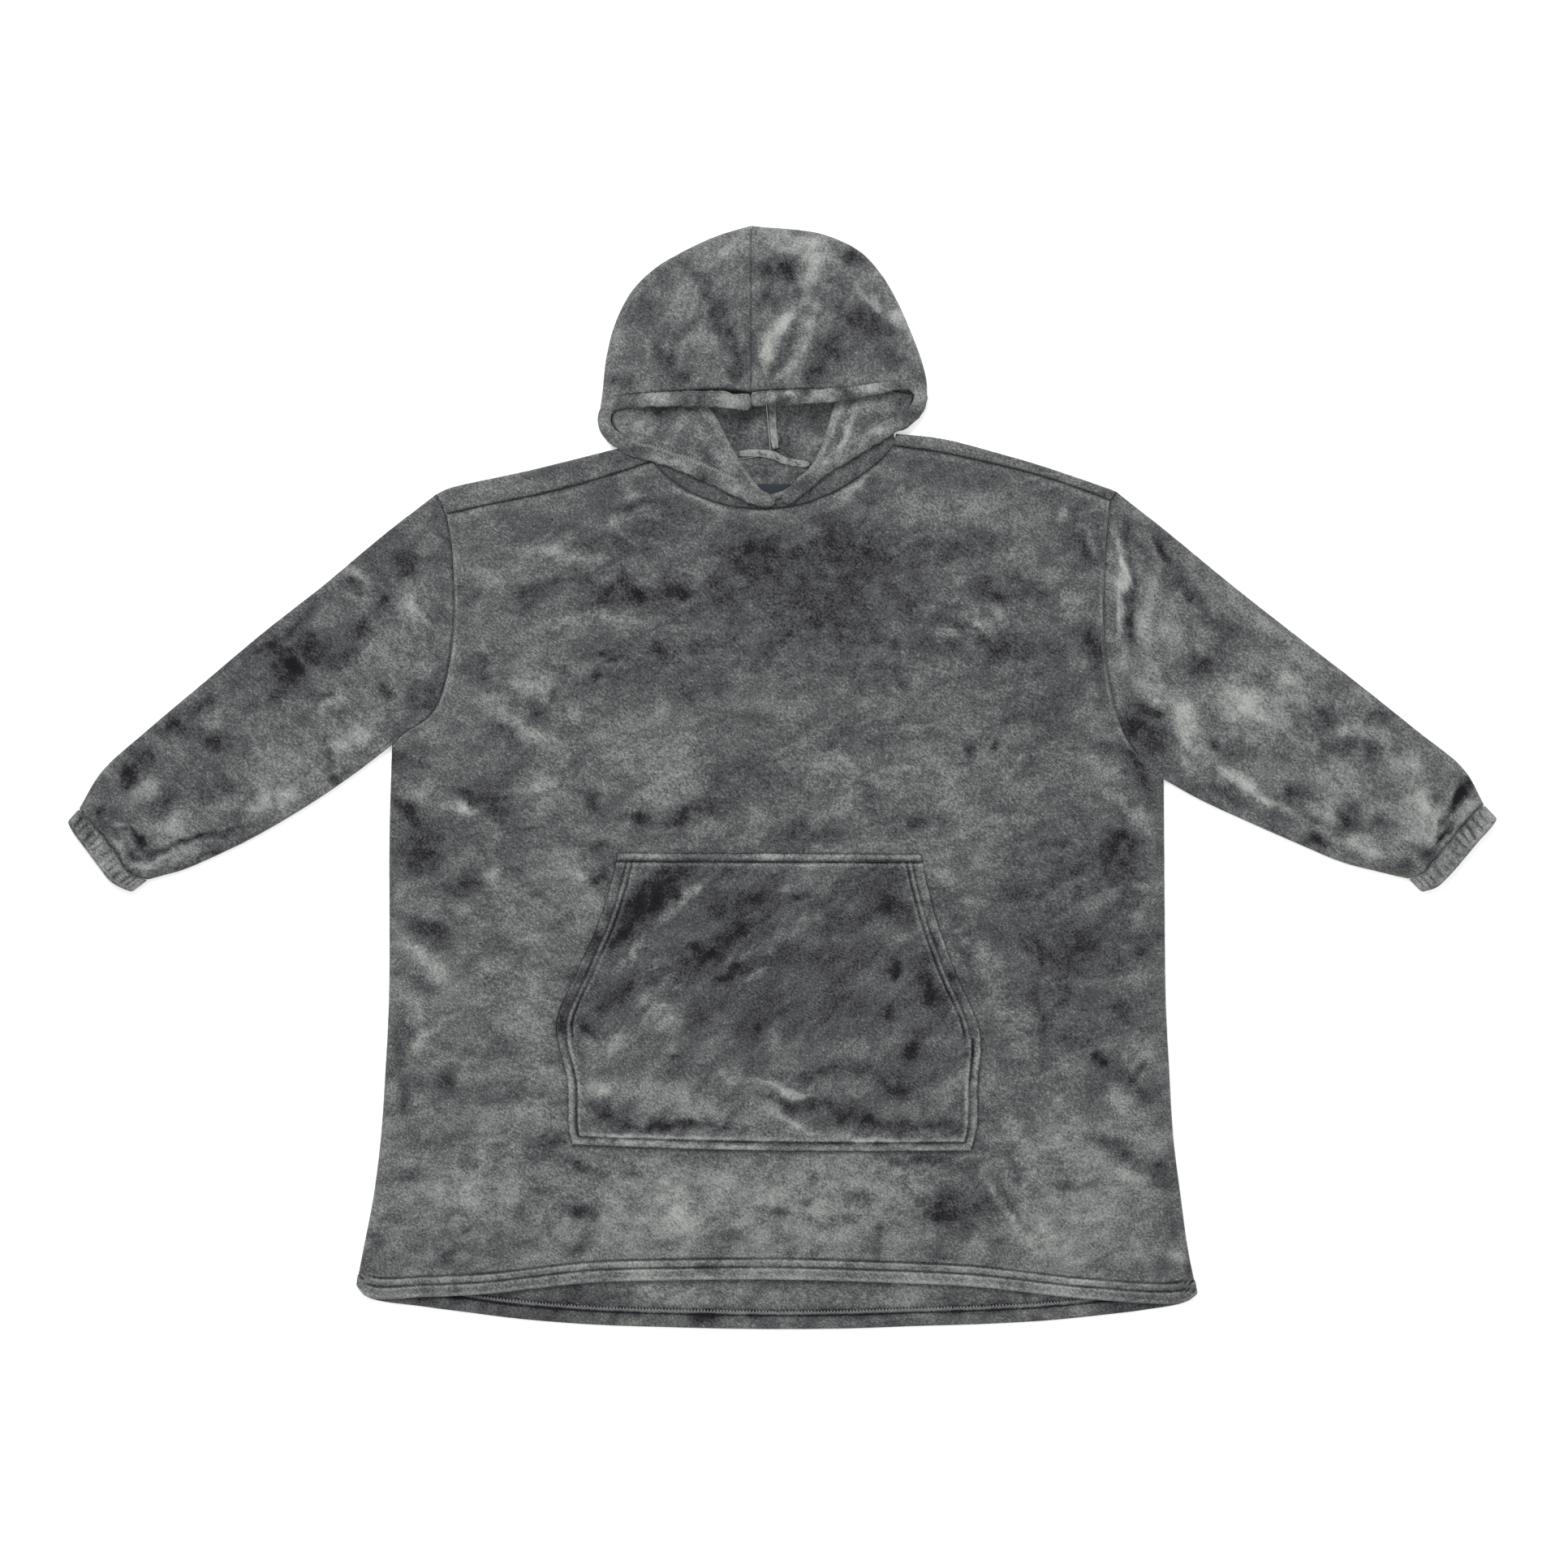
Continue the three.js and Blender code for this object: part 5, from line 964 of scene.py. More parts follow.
# Among these, (-493, 148) and (510, 130) are painted highlights along the sleeves' upper folded edges;
# (334, 206) and (333, 158) are painted highlights on the ridges by the right armhole, with painted shade
# at (345, 172) between them; and the rows near the cuffs, (-644, -57), (-647, -49) and those from (657,
# -40) on, paint shade in the creases' troughs and highlights on their ridges.
SLEEVE_STREAKS = [
    (-585, -35, 230, 90, 28, 0.13), (-475, 117, 100, 44, 25, -0.45), (-483, 151, 100, 14, 42, -0.45),
    (-436, 117, 26, 22, 0, -0.3), (-483, 112, 18, 16, 0, -0.4), (-473, 120, 34, 6, -45, 0.35),
    (-418, 198, 30, 16, -30, 0.35), (-425, 187, 26, 12, 20, -0.35), (-371, 211, 36, 30, 40, -0.4),
    (-350, 232, 20, 24, 0, 0.3), (-361, 174, 44, 24, -60, 0.35), (-337, 151, 70, 16, 85, -0.3),
    (-402, 120, 44, 34, 0, 0.2), (-389, 172, 24, 10, 75, -0.4), (-415, 141, 40, 14, 65, -0.35),
    (-447, 146, 40, 18, 25, 0.2), (-441, 73, 30, 14, 30, 0.35), (-410, 52, 80, 26, 30, 0.35),
    (-350, 81, 40, 30, 40, -0.45), (-387, 84, 18, 14, 0, -0.35), (-454, 81, 34, 18, 0, -0.4),
    (-470, 57, 24, 16, -60, -0.35), (-447, 24, 40, 13, -75, -0.45), (-467, 24, 40, 14, -80, 0.3),
    (-493, -21, 80, 18, 25, 0.35), (-436, 0, 26, 14, 30, -0.3), (-556, 57, 34, 24, 40, 0.25),
    (-553, 31, 26, 16, -20, -0.35), (-595, 52, 26, 20, 0, -0.5), (-629, 16, 44, 22, 35, -0.4),
    (-648, 0, 22, 18, 45, -0.5), (-610, -26, 36, 20, 60, -0.45), (-634, -13, 50, 20, 50, 0.3),
    (-564, -18, 60, 28, 20, -0.3), (-668, -36, 30, 18, -30, -0.5), (-600, -52, 44, 24, 40, 0.3),
    (-493, 148, 230, 8, 39, 0.15), (-574, 68, 40, 22, 30, -0.35), (-499, 78, 50, 20, 15, -0.2),
    (-509, 107, 26, 10, 30, 0.3), (-644, -57, 34, 8, -35, -0.55), (-647, -49, 34, 8, -35, 0.35),
    (334, 206, 74, 8, -82, 0.85), (333, 158, 68, 7, 83, 0.75), (345, 172, 80, 12, -88, -0.5),
    (361, 227, 36, 11, -60, 0.5), (366, 174, 80, 12, 80, 0.35), (339, 240, 34, 12, -70, -0.4),
    (375, 224, 40, 12, -55, -0.35), (408, 174, 50, 14, -62, -0.45), (413, 115, 40, 26, 0, -0.4),
    (384, 143, 36, 26, 0, 0.3), (413, 132, 14, 14, 0, 0.3), (339, 117, 30, 14, 60, 0.3),
    (356, 89, 50, 18, -40, 0.45), (364, 107, 26, 12, -75, 0.3), (356, 52, 60, 36, -50, -0.55),
    (366, 68, 30, 11, 8, -0.4), (395, 60, 56, 34, -50, 0.65), (403, 34, 26, 14, 0, 0.4),
    (425, 36, 14, 16, 0, -0.4), (462, 63, 90, 50, -20, 0.4), (501, 94, 50, 30, -35, 0.35),
    (447, 141, 60, 34, -30, -0.3), (455, -8, 110, 14, -36, 0.55), (400, 16, 50, 20, -30, 0.4),
    (442, -23, 60, 14, -32, -0.3), (503, -18, 36, 28, 20, -0.5), (535, 60, 30, 24, -20, -0.5),
    (567, 29, 44, 24, -50, -0.45), (538, 24, 30, 18, 10, -0.3), (585, 58, 24, 18, -30, -0.4),
    (556, 47, 44, 12, -10, 0.3), (611, 18, 50, 34, 0, 0.25), (556, -39, 38, 26, 60, -0.6),
    (587, -47, 50, 16, -5, -0.35), (533, -36, 60, 14, -25, 0.4), (520, -42, 34, 6, -20, -0.5),
    (530, -64, 26, 12, -5, -0.5), (569, -65, 70, 18, -18, 0.35), (651, -21, 24, 22, 0, -0.45),
    (632, -31, 50, 28, 50, 0.35), (662, -26, 30, 7, 75, 0.5), (652, -49, 34, 8, 40, 0.55),
    (671, -18, 36, 10, 55, -0.6), (658, -52, 40, 8, 45, -0.6), (632, -78, 24, 14, -40, -0.5),
    (629, -60, 40, 16, -20, 0.4), (611, -89, 18, 10, 0, -0.35), (510, 130, 330, 8, -37, 0.12),
    (520, 20, 420, 260, -35, 0.08), (657, -40, 110, 9, 66, -0.6), (648, -38, 70, 9, 62, 0.4),
    (673, -44, 80, 9, 62, 0.35), (-637, -61, 34, 9, -38, -0.55), (-640, -75, 26, 8, -48, -0.5),
    (-647, -56, 28, 10, -50, 0.5), (-651, -74, 34, 10, -52, 0.45), (-628, -88, 36, 9, -5, 0.4),
    (-600, -68, 70, 7, 20, -0.5), (-556, -56, 80, 6, 14, -0.4), (-592, -75, 80, 9, 18, 0.35),
    (-566, -79, 90, 5, 17, -0.4),
]
SLEEVE_ROWS = 120
SLEEVE_COLUMNS = 76
SLEEVE_EDGE_POINTS = 81
SLEEVE_RIM = 3.9  # the room that the turn of a folded edge takes, as in the cuffs
UNDERARM_EASE = 7  # the fullness under the arm, which keeps the sleeve clear of the side seam
GATHERS = 13  # folds that a cuff's elastic makes across each layer


def flat_tube(plan, low, high, top_level, low_level, half=HALF):
    """Rings of a flattened tube: over its upper layer from edge to edge, and back under it."""
    first_in, last_in = unit(plan[:, 1] - plan[:, 0]), unit(plan[:, -2] - plan[:, -1])
    upper = raised(plan, top_level)[:, 1:-1]
    under = raised(plan, low_level)[:, 1:-1]
    up = level_out(upper)
    rim = lambda edge, inward, angles: round_edge(edge, inward, low, high, angles, half)
    half_turn = np.arange(90, -91, -22.5)
    first_a, out_a = rim(plan[:, 0], first_in, half_turn[4::-1])
    first_b, out_b = rim(plan[:, 0], first_in, half_turn[:4:-1])
    last, out_last = rim(plan[:, -1], last_in, half_turn)
    mid = np.concatenate([first_a, upper, last, under[:, ::-1], first_b], axis=1)
    out = np.concatenate([out_a, up, out_last, -up[:, ::-1], out_b], axis=1)
    return mid, out


def sleeve(tops, unders, cuff_seam, armhole, fold, into):
    """A sleeve's tube from the armhole to the cuff seam. Its faces, its tone and its cloth's area."""
    seam = beside(armhole, into)
    # A little more room at the underarm point, where the side seam and the sleeve's own seam meet
    seam[:8] += np.array([into, 0.35]) * (SEAM_GAP * np.linspace(2, 0, 8))[:, None]
    shoulder_point = np.add(fold, (into * 1.6 * SEAM_GAP, 0))
    edge = stepped(np.concatenate([[shoulder_point], seam[::-1]]), SLEEVE_EDGE_POINTS)
    top, under = even(tops, SLEEVE_ROWS), even(unders, SLEEVE_ROWS, 1.25)
    cuff_edge = even(cuff_seam, SLEEVE_EDGE_POINTS)
    top[0], top[-1] = edge[0], cuff_edge[0]
    under[0], under[-1] = edge[-1], cuff_edge[-1]
    plan = patch(edge, cuff_edge, top, under)
    down = np.linspace(0, 1, SLEEVE_ROWS)[:, None] / 0.09
    share = np.linspace(0, 1, SLEEVE_EDGE_POINTS)
    ease = UNDERARM_EASE * down * np.exp(1 - down) * smooth(np.clip(5 * share * (1 - share), 0, 1))
    plan = plan + away_from(edge, into)[None] * ease[..., None]
    plan = spaced(plan, SEAM_MARKS[:6], SLEEVE_ROWS - 14, both=True)
    plan = spaced(plan.swapaxes(0, 1), [0, SLEEVE_RIM], SLEEVE_COLUMNS, both=True).swapaxes(0, 1)
    x, y = plan[..., 0], plan[..., 1]
    share = shares_across(plan)
    from_arm = lengths(plan)
    from_cuff = from_arm[-1] - from_arm
    small_folds = np.cos(2 * np.pi * (GATHERS * share + 0.5 * wobble(x, y, 30, 52)))
    long_folds = np.cos(2 * np.pi * (4.6 * share + 0.6 * wobble(x, y, 50, 53)))
    gathers = 0.9 * np.exp(-from_cuff / 13) * small_folds + np.exp(-from_cuff / 42) * long_folds
    rise = ramp(np.sin(np.pi * share) * 1.9, 0, 1)
    full = LOFT + 0.6 * ramp(from_cuff, 120, 0) + bumps(SLEEVE_CREASES, x, y) + relief(x, y, 54)
    top_level = TOP_MID + rise * (full * ramp(from_arm, 0, 40) + gathers)
    top_level += rise * (pucker(from_arm) + pucker(from_cuff))
    low_level = FLOOR_MID + rise * ramp(np.minimum(from_arm, from_cuff), 5, 40) * (
        0.25 + 0.25 * wobble(x, y, 32, 55))
    mid, out = flat_tube(plan, FLOOR_MID, TOP_MID, top_level, low_level)
    rows = np.minimum(from_arm, from_cuff).mean(axis=1, keepdims=True)
    tufts = tufted(mid, 56)
    outer = HALF * rounded(rows) * np.where(mid[..., 2] < FLOOR_MID + 1, 1, tufts)
    # Painted shade along the armhole and cuff seams at the tube's two ends.
    tone = pile_and_shading_streaks(SLEEVE_STREAKS, mid[..., 0], mid[..., 1], 57) - 0.3 * line_at(rows, 0, 2.2)
    faces = wall(mid, out, outer, HALF * rounded(rows) * tufts, wrap=True)
    area = 2 * cut_area(edge[::-1], top, cuff_edge, under[::-1])
    return faces, np.tile(tone.ravel(), 2), area


sleeve_fleece = plush("plush_fleece_sleeves", seed=3, brush_angle=-40, stretch=1.4)
sleeves = {
    "left": sleeve(LEFT_SLEEVE_TOP, LEFT_SLEEVE_UNDER, LEFT_CUFF_SEAM, arm_left,
                   LEFT_SHOULDER_FOLD[0], -1),
    "right": sleeve(RIGHT_SLEEVE_TOP, RIGHT_SLEEVE_UNDER, RIGHT_CUFF_SEAM, arm_right,
                    RIGHT_SHOULDER_FOLD[-1], 1),
}
for side, (faces, tone, area) in sleeves.items():
    made = piece("sleeve_tube_" + side, *faces, sleeve_fleece, tone)
    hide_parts("sleeve_" + side)
    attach(made, "root")

# The seam allowances at the shoulders' ends
# Front, back and sleeve meet at the top of each armhole. Their raw fleece edges lie rolled together
# inside the seam there.

# The line each band follows: x, y, z and half its width
ALLOWANCES = {
    "left": [
        (-341.5, 279, 3.35, 2), (-339.5, 276, 3.35, 2.6), (-337, 270, 3.35, 2.6), (-335, 258, 3.35, 2),
    ],
    "right": [
        (329.5, 281.5, 3.35, 2), (327, 278, 3.35, 2.6), (325, 272, 3.35, 2.6), (324, 260, 3.35, 2),
    ],
}
ALLOWANCE_THICK = 0.55
BAND_RINGS = 230
BAND_AROUND = 28


def plump_band(table, thick, seed):
    """A plump band of cloth that follows a line of (x, y, z, half width), as rings of points."""
    line = even(table, BAND_RINGS)
    forward = unit(np.gradient(line[:, :3], axis=0))
    side = unit(np.stack([-forward[:, 1], forward[:, 0], np.zeros(len(line))], axis=1))
    up = np.cross(forward, side)
    up *= np.sign(up[:, 2:])
    turn = np.radians(np.arange(0, 360, 360 / BAND_AROUND))
    run = lengths(line[:, :3])
    ends_in = np.minimum(rounded(run, 3, 0.5), rounded(run[-1] - run, 5, 0.15))
    wide = (line[:, 3] * ends_in)[:, None] * np.sign(np.cos(turn)) * np.abs(np.cos(turn)) ** 0.75
    high = (thick * ends_in)[:, None] * np.sign(np.sin(turn)) * np.abs(np.sin(turn)) ** 0.8
    around = 9 * np.sin(turn)[None] + 0 * run[:, None]
    ripple = 1 + 0.1 * wobble(run[:, None] + 0 * turn, around, 7, seed)
    ripple += 0.1 * wobble(run[:, None] + 0 * turn, around, 3.4, seed + 1)
    sideways = side[:, None] * (wide * ripple)[..., None]
    upward = up[:, None] * (high * ripple)[..., None]
    return line[:, None, :3] + sideways + upward


def ringed(points):
    """Points and faces of a closed band made of rings."""
    rows, columns = points.shape[:2]
    i, j = np.mgrid[0:rows - 1, 0:columns]
    at = lambda down, right: (i + down) * columns + (j + right) % columns
    sides = np.stack([at(0, 0), at(0, 1), at(1, 1), at(1, 0)], -1).reshape(-1, 4)
    fan = np.array([[0, k, k + 1, k + 2] for k in range(1, columns - 1, 2)])
    return points.reshape(-1, 3), np.concatenate([sides, fan[:, ::-1], fan + (rows - 1) * columns])


for side, table in ALLOWANCES.items():
    band = plump_band(table, ALLOWANCE_THICK, 59)
    allowance = piece("armhole_seam_allowance_" + side, *ringed(band), sleeve_fleece)
    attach(allowance, "root")

# The cuffs
# A band of fleece folded in half round a flat elastic and sewn to the sleeve's end. The relaxed elastic
# gathers it into about 13 plump ribs on each layer.

LEFT_CUFF_END = [
    (-704.8, -43.5), (-698.5, -54.5), (-690, -66), (-681, -78), (-672, -90), (-663.5, -101),
    (-654, -107.5), (-641, -113),
]
RIGHT_CUFF_END = [
    (704.8, -40.5), (697, -51), (686, -63), (676, -75), (666, -87), (656, -98), (645, -108),
    (630, -113),
]
CASING = 4.2
CUFF_TOP_MID = 1.5 * CASING + 1.4
CUFF_MARKS = [0, 0.5, 1.2, 2.2, 3.5]
CUFF_RIM = 5.8
CUFF_MIDDLE_ROWS = 8
RIB_POINTS = 10


def cuff(seam_table, end_table):
    """A cuff's band from the sleeve's end to its own. Its faces and its tone."""
    count = GATHERS * RIB_POINTS
    seam, end = even(seam_table, count), even(end_table, count)
    seam = seam + unit(end - seam) * 1.4 * SEAM_GAP
    plan = np.stack([seam * (1 - t) + end * t for t in np.linspace(0, 1, 12)])
    plan = spaced(plan, CUFF_MARKS, CUFF_MIDDLE_ROWS, both=True)
    plan = spaced(plan.swapaxes(0, 1), [0, CUFF_RIM], count, both=True).swapaxes(0, 1)
    share = shares_across(plan)
    from_seam = lengths(plan)
    from_end = from_seam[-1] - from_seam
    uneven = 0.5 * wobble(share * 100, from_seam * 0.3, 13, 61)
    rib = np.abs(np.cos(np.pi * (GATHERS * share + uneven))) ** 0.55
    deep = 1.5 * ramp(from_end, 0, 5) * (0.6 + 0.4 * np.exp(-from_seam / 4))
    top_level = CUFF_TOP_MID + 0.5 - deep * (1 - rib)
    low_level = CASING / 2 + 0.7 * deep * (1 - rib)
    mid, out = flat_tube(plan, CASING / 2, CUFF_TOP_MID, top_level, low_level, half=CASING / 2)
    rows = np.minimum(from_seam * 1.4, from_end).mean(axis=1, keepdims=True)
    x, y = mid[..., 0], mid[..., 1]
    thick = CASING / 2 * rounded(rows, 3.2, 0.15) * (1 + 0.05 * wobble(x, y, 4, 62))
    grooves = ((1 - rib) * ramp(from_end, 2, 6) * ramp(from_seam, 0, 2))[:, 1:-1]
    # The rims that flat_tube makes at both edges have no grooves
    rim = np.zeros((len(plan), 9))
    grooves = np.concatenate([rim[:, :5], grooves, rim, grooves[:, ::-1], rim[:, :4]], axis=1)
    # Painted shade in the grooves between the ribs and along the band's two edges; the rest varies at
    # random.
    tone = 0.28 - 0.5 * grooves * (1 + 0.8 * wobble(x, y, 24, 64)) + 0.14 * wobble(x, y, 9, 63)
    tone -= 0.25 * line_at(rows, 0, 1.5)
    return wall(mid, out, thick, thick, wrap=True), np.tile(tone.ravel(), 2)


cuff_fleece = plush("plush_fleece_cuffs", seed=4)
cuffs = {"left": cuff(LEFT_CUFF_SEAM, LEFT_CUFF_END), "right": cuff(RIGHT_CUFF_SEAM, RIGHT_CUFF_END)}
for side, (faces, tone) in cuffs.items():
    made = piece("cuff_band_" + side, *faces, cuff_fleece, tone)
    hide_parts("cuff_" + side)
    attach(made, "root")

# The hood
# Two halves of fleece joined by a seam over the crown. The hood lies on its back part, its crown
# puffed up, its opening held by a turned hem, and its front edges turned out over the neckline.

# The tables follow each half's ribs: from the hem of the opening (lip) over the folded outer edge to
# the neck seam (base), whose y is 0 where it is taken from the back's neckline.
CROWN_SEAM_X = -31
HOOD_LEFT = {
    "lip": [(-168, 356), (-158, 362), (-140, 364), (-120, 365), (-100, 366), (-80, 367), (-62, 367),
            (-46, 366), (-31, 364)],
    "edge": [(-181, 354), (-177.5, 380), (-174, 412), (-165.5, 446), (-149.5, 478), (-127, 501),
             (-99, 518), (-63, 534.5), (-31, 544)],
    "base": [(-171, 343.5), (-160, 336.5), (-146, 333), (-127, 330), (-104, 0), (-80, 0), (-58, 0),
             (-34, 0), (-11.5, 0)],
    "height": [6.6, 10, 13, 15.5, 17.5, 19, 20, 20.5, 20.5],
}
HOOD_RIGHT = {
    "lip": [(130, 378), (118, 382), (100, 379), (80, 374), (60, 370), (40, 368), (18, 367), (-6, 366),
            (-31, 364)],
    "edge": [(142.6, 371), (142, 391), (137, 412), (126, 441), (113.5, 469), (98, 495.5), (76, 519),
             (38, 536), (-31, 544)],
    "base": [(133, 360), (124, 350), (107, 342), (88, 0), (70, 0), (50, 0), (28, 0), (8, 0), (-11.5, 0)],
    "height": [6.6, 10, 13, 15.5, 17.5, 19, 20, 20.5, 20.5],
}
HOOD_EDGE_MID = 3.2
RIM_DEPTH = 15
HOOD_CREASES = [
    (-8, 425, 120, 20, 66, 2.2), (22, 410, 90, 20, 58, 2.0), (80, 420, 90, 26, 40, 1.8),
    (-62, 420, 110, 28, -70, 1.8), (-125, 410, 80, 26, -55, 1.5),
]
HOOD_STREAKS = [
    (15, 531, 90, 34, -12, 0.45), (-2, 503, 60, 30, 0, -0.6), (14, 484, 40, 12, 80, -0.45),
    (-13, 473, 40, 18, 30, -0.3), (-7, 431, 90, 17, 66, 0.6), (29, 440, 70, 9, 68, 0.4),
    (2, 422, 70, 10, 62, -0.4), (4, 402, 45, 12, 55, 0.35), (31, 498, 60, 20, 70, 0.35),
    (69, 511, 36, 14, -25, -0.45), (58, 478, 36, 26, 60, -0.35), (46, 418, 60, 26, 45, -0.4),
    (84, 444, 60, 28, -20, -0.5), (91, 463, 70, 14, -35, 0.4), (50, 460, 180, 170, 0, 0.06),
    (115, 456, 80, 14, -62, 0.4), (108, 411, 60, 22, -25, -0.35), (35, 394, 40, 14, 20, -0.4),
    (-24, 422, 80, 10, 88, -0.3), (-46, 522, 50, 24, 60, 0.25), (-66, 458, 96, 22, -62, -0.46),
    (-49, 413, 50, 16, -80, -0.35), (-100, 450, 190, 180, 0, -0.02), (-95, 473, 50, 30, 40, 0.12),
    (-139, 458, 50, 30, 60, -0.3), (-159, 431, 60, 22, 72, 0.28), (-119, 416, 45, 20, -60, -0.3),
    (-80, 422, 60, 36, 60, 0.1), (-157, 394, 30, 18, 0, -0.3), (-102, 389, 24, 12, -30, -0.3),
    (-117, 504, 110, 12, 38, 0.15), (-93, 498, 36, 18, -60, -0.25),
]
FLAP_LEFT = {
    "lip": [(-12.8, 268.4), (-28, 268.5), (-60, 285), (-90, 300), (-112, 308), (-131, 313.5),
            (-148, 317.5), (-161, 322.5), (-172, 332.5), (-179.5, 343), (-181, 356)],
    "roll": [(-12.2, 279), (-22, 285), (-34, 301), (-46, 319), (-54, 334), (-61, 348), (-67, 358),
             (-73, 367), (-79, 376), (-86, 387), (-95, 399)],
    "neck": [(-13, 265.1), (-48, 267), (-74, 274), (-94, 282.5), (-110, 294), (-121, 304), (-128, 312),
             (-130, 334), (-141, 342), (-150, 352), (-154, 366)],
    "lift": [0, 0, 0, 0, 0, 0, 0, -0.4, -1.6, -3, -4.1],
}
FLAP_RIGHT = {
    "lip": [(-12.2, 268.4), (8, 275), (33, 288), (53, 300), (70, 311.5), (89, 325), (106, 337),
            (123, 343.5), (136, 354), (142.6, 373)],
    "roll": [(-11.6, 279), (3, 284), (15, 293), (25, 303), (33, 315), (40, 331), (45, 347), (49, 362),
             (53, 376), (60, 392)],
    "neck": [(-12.4, 265.1), (12, 268), (38, 276), (61, 287), (82, 301), (100, 316), (109, 327),
             (111, 343), (119, 353), (124, 368)],
    "lift": [0, 0, 0, 0, 0, 0, 0, -0.8, -2.2, -4.1],
}
FLAP_MID = TOP_MID + 3.9
FLAP_SEWN = 6  # how far along the tables the front edges are sewn to the front's neckline
FLAP_CREASES = [(66, 343, 70, 12, 62, 1.5), (84, 352, 60, 12, 58, -0.6), (-96, 352, 60, 16, -60, 0.8)]
FLAP_STREAKS = [
    (-124, 360, 30, 14, 0, -0.4), (-140, 346, 40, 18, -10, 0.25), (-100, 340, 50, 30, -50, 0.15),
    (-84, 322, 40, 14, -30, -0.25), (-78, 352, 50, 12, -58, -0.2), (-60, 318, 40, 12, -55, 0.2),
    (117, 374, 30, 16, 10, -0.4), (66, 343, 60, 9, 62, 0.35), (56, 340, 60, 9, 62, -0.35),
    (90, 352, 50, 16, 50, -0.3), (104, 366, 30, 14, 20, 0.3), (46, 322, 40, 10, 55, 0.2),
]
HOOD_RIBS = 100
RIM_LEFT = [
    (-31.4, 369.2, 20.6, 8), (-48, 369.6, 20.4, 7.8), (-60, 372, 19.8, 7.4), (-80, 372.7, 19, 7.4),
    (-110, 372.6, 16.6, 7.3), (-140, 371.6, 13.2, 7.1), (-160, 370, 10.6, 6.8), (-171.5, 364, 8.8, 6.5),
    (-175.4, 354.5, 7.4, 6.4), (-173.5, 343.5, 6.8, 6.6), (-163, 332.5, 7.4, 7),
    (-145, 323.5, 8.9, 7.4), (-123, 317.5, 9.6, 7.6), (-93, 307, 9.6, 7.7), (-57, 291, 9.6, 7.7),
    (-28, 276, 9.8, 7), (-16, 273.2, 10.4, 6), (-7, 272.5, 10.6, 5),
]
RIM_RIGHT = [
    (-30.6, 371.8, 20.6, 7), (-10, 373.2, 20.4, 7.2), (15, 374.4, 20, 7.4), (55, 377.6, 17.9, 7.4),
    (90, 384.4, 14.6, 7.2), (115, 388.6, 11, 6.9), (129, 387.5, 9, 6.6), (136, 379, 7.6, 6.4),
    (134, 366, 7.2, 6.7), (122, 353, 8.6, 7.2), (103, 343.5, 9.6, 7.5), (80, 329.5, 9.6, 7.6),
    (55, 314.5, 9.6, 7.6), (43, 307, 9.6, 7.5), (21.5, 289.5, 9.4, 7.2), (7.8, 277.5, 9.2, 6.4),
    (0, 273, 9, 5),
]
RIM_STREAKS = [
    (-85, 372, 34, 22, 0, -0.35), (-50, 370, 26, 20, 0, 0.4), (-120, 371, 26, 16, 0, 0.3),
    (-150, 370, 30, 16, 0, -0.2), (-172, 350, 24, 22, 0, 0.25), (-145, 322, 26, 16, 0, -0.35),
    (-110, 312, 30, 12, -20, 0.3), (-75, 299, 26, 14, -20, -0.25), (-45, 285, 30, 10, -25, 0.3),
    (-14, 379, 14, 7, 0, 0.5), (4, 379.5, 12, 6, 0, 0.45), (-4, 370, 20, 9, 0, -0.4),
    (22, 379, 18, 6, 0, -0.45), (40, 377, 18, 12, 0, 0.4), (62, 379, 16, 12, 0, -0.3),
    (84, 384, 30, 12, 15, 0.35), (110, 388, 22, 12, 10, -0.25), (134, 378, 20, 16, 0, 0.3),
    (131, 360, 18, 16, 0, -0.3), (100, 342, 34, 14, 30, 0.35), (70, 323, 24, 12, 30, -0.3),
    (46, 308, 30, 10, 35, 0.35), (22, 290, 20, 12, 40, -0.2),
]
RIM_THICK = 3.0
UPPER_HEM_FROM = 368  # the hem lies over the crown's opening where its y is above this
LOWER_HEM_FROM = 282
LOWER_HEM_TO = {"left": 328, "right": 350}


def between(first, last, share):
    """Points between two lines, at shares of the way from the first to the last."""
    return first[:, None] + (last - first)[:, None] * share[..., None]


def folded_over(upper, under, fold, to_upper, to_under, low, high, angles, seed):
    """Joins an upper and an under layer round the fold between them. Their points, their outward
    directions and half their thickness."""
    turn_over, out_over = round_edge(fold, to_upper, low, high, angles)
    turn_under, out_under = round_edge(fold, to_under, low, high, [-angle for angle in angles[-2::-1]])
    mid = np.concatenate([upper, turn_over, turn_under, under], axis=1)
    out = np.concatenate([level_out(upper), out_over, out_under, level_out(under, -1)], axis=1)
    run = lengths(mid, axis=1)
    return mid, out, HALF * rounded(np.minimum(run, run[:, -1:] - run)) * tufted(mid, seed)


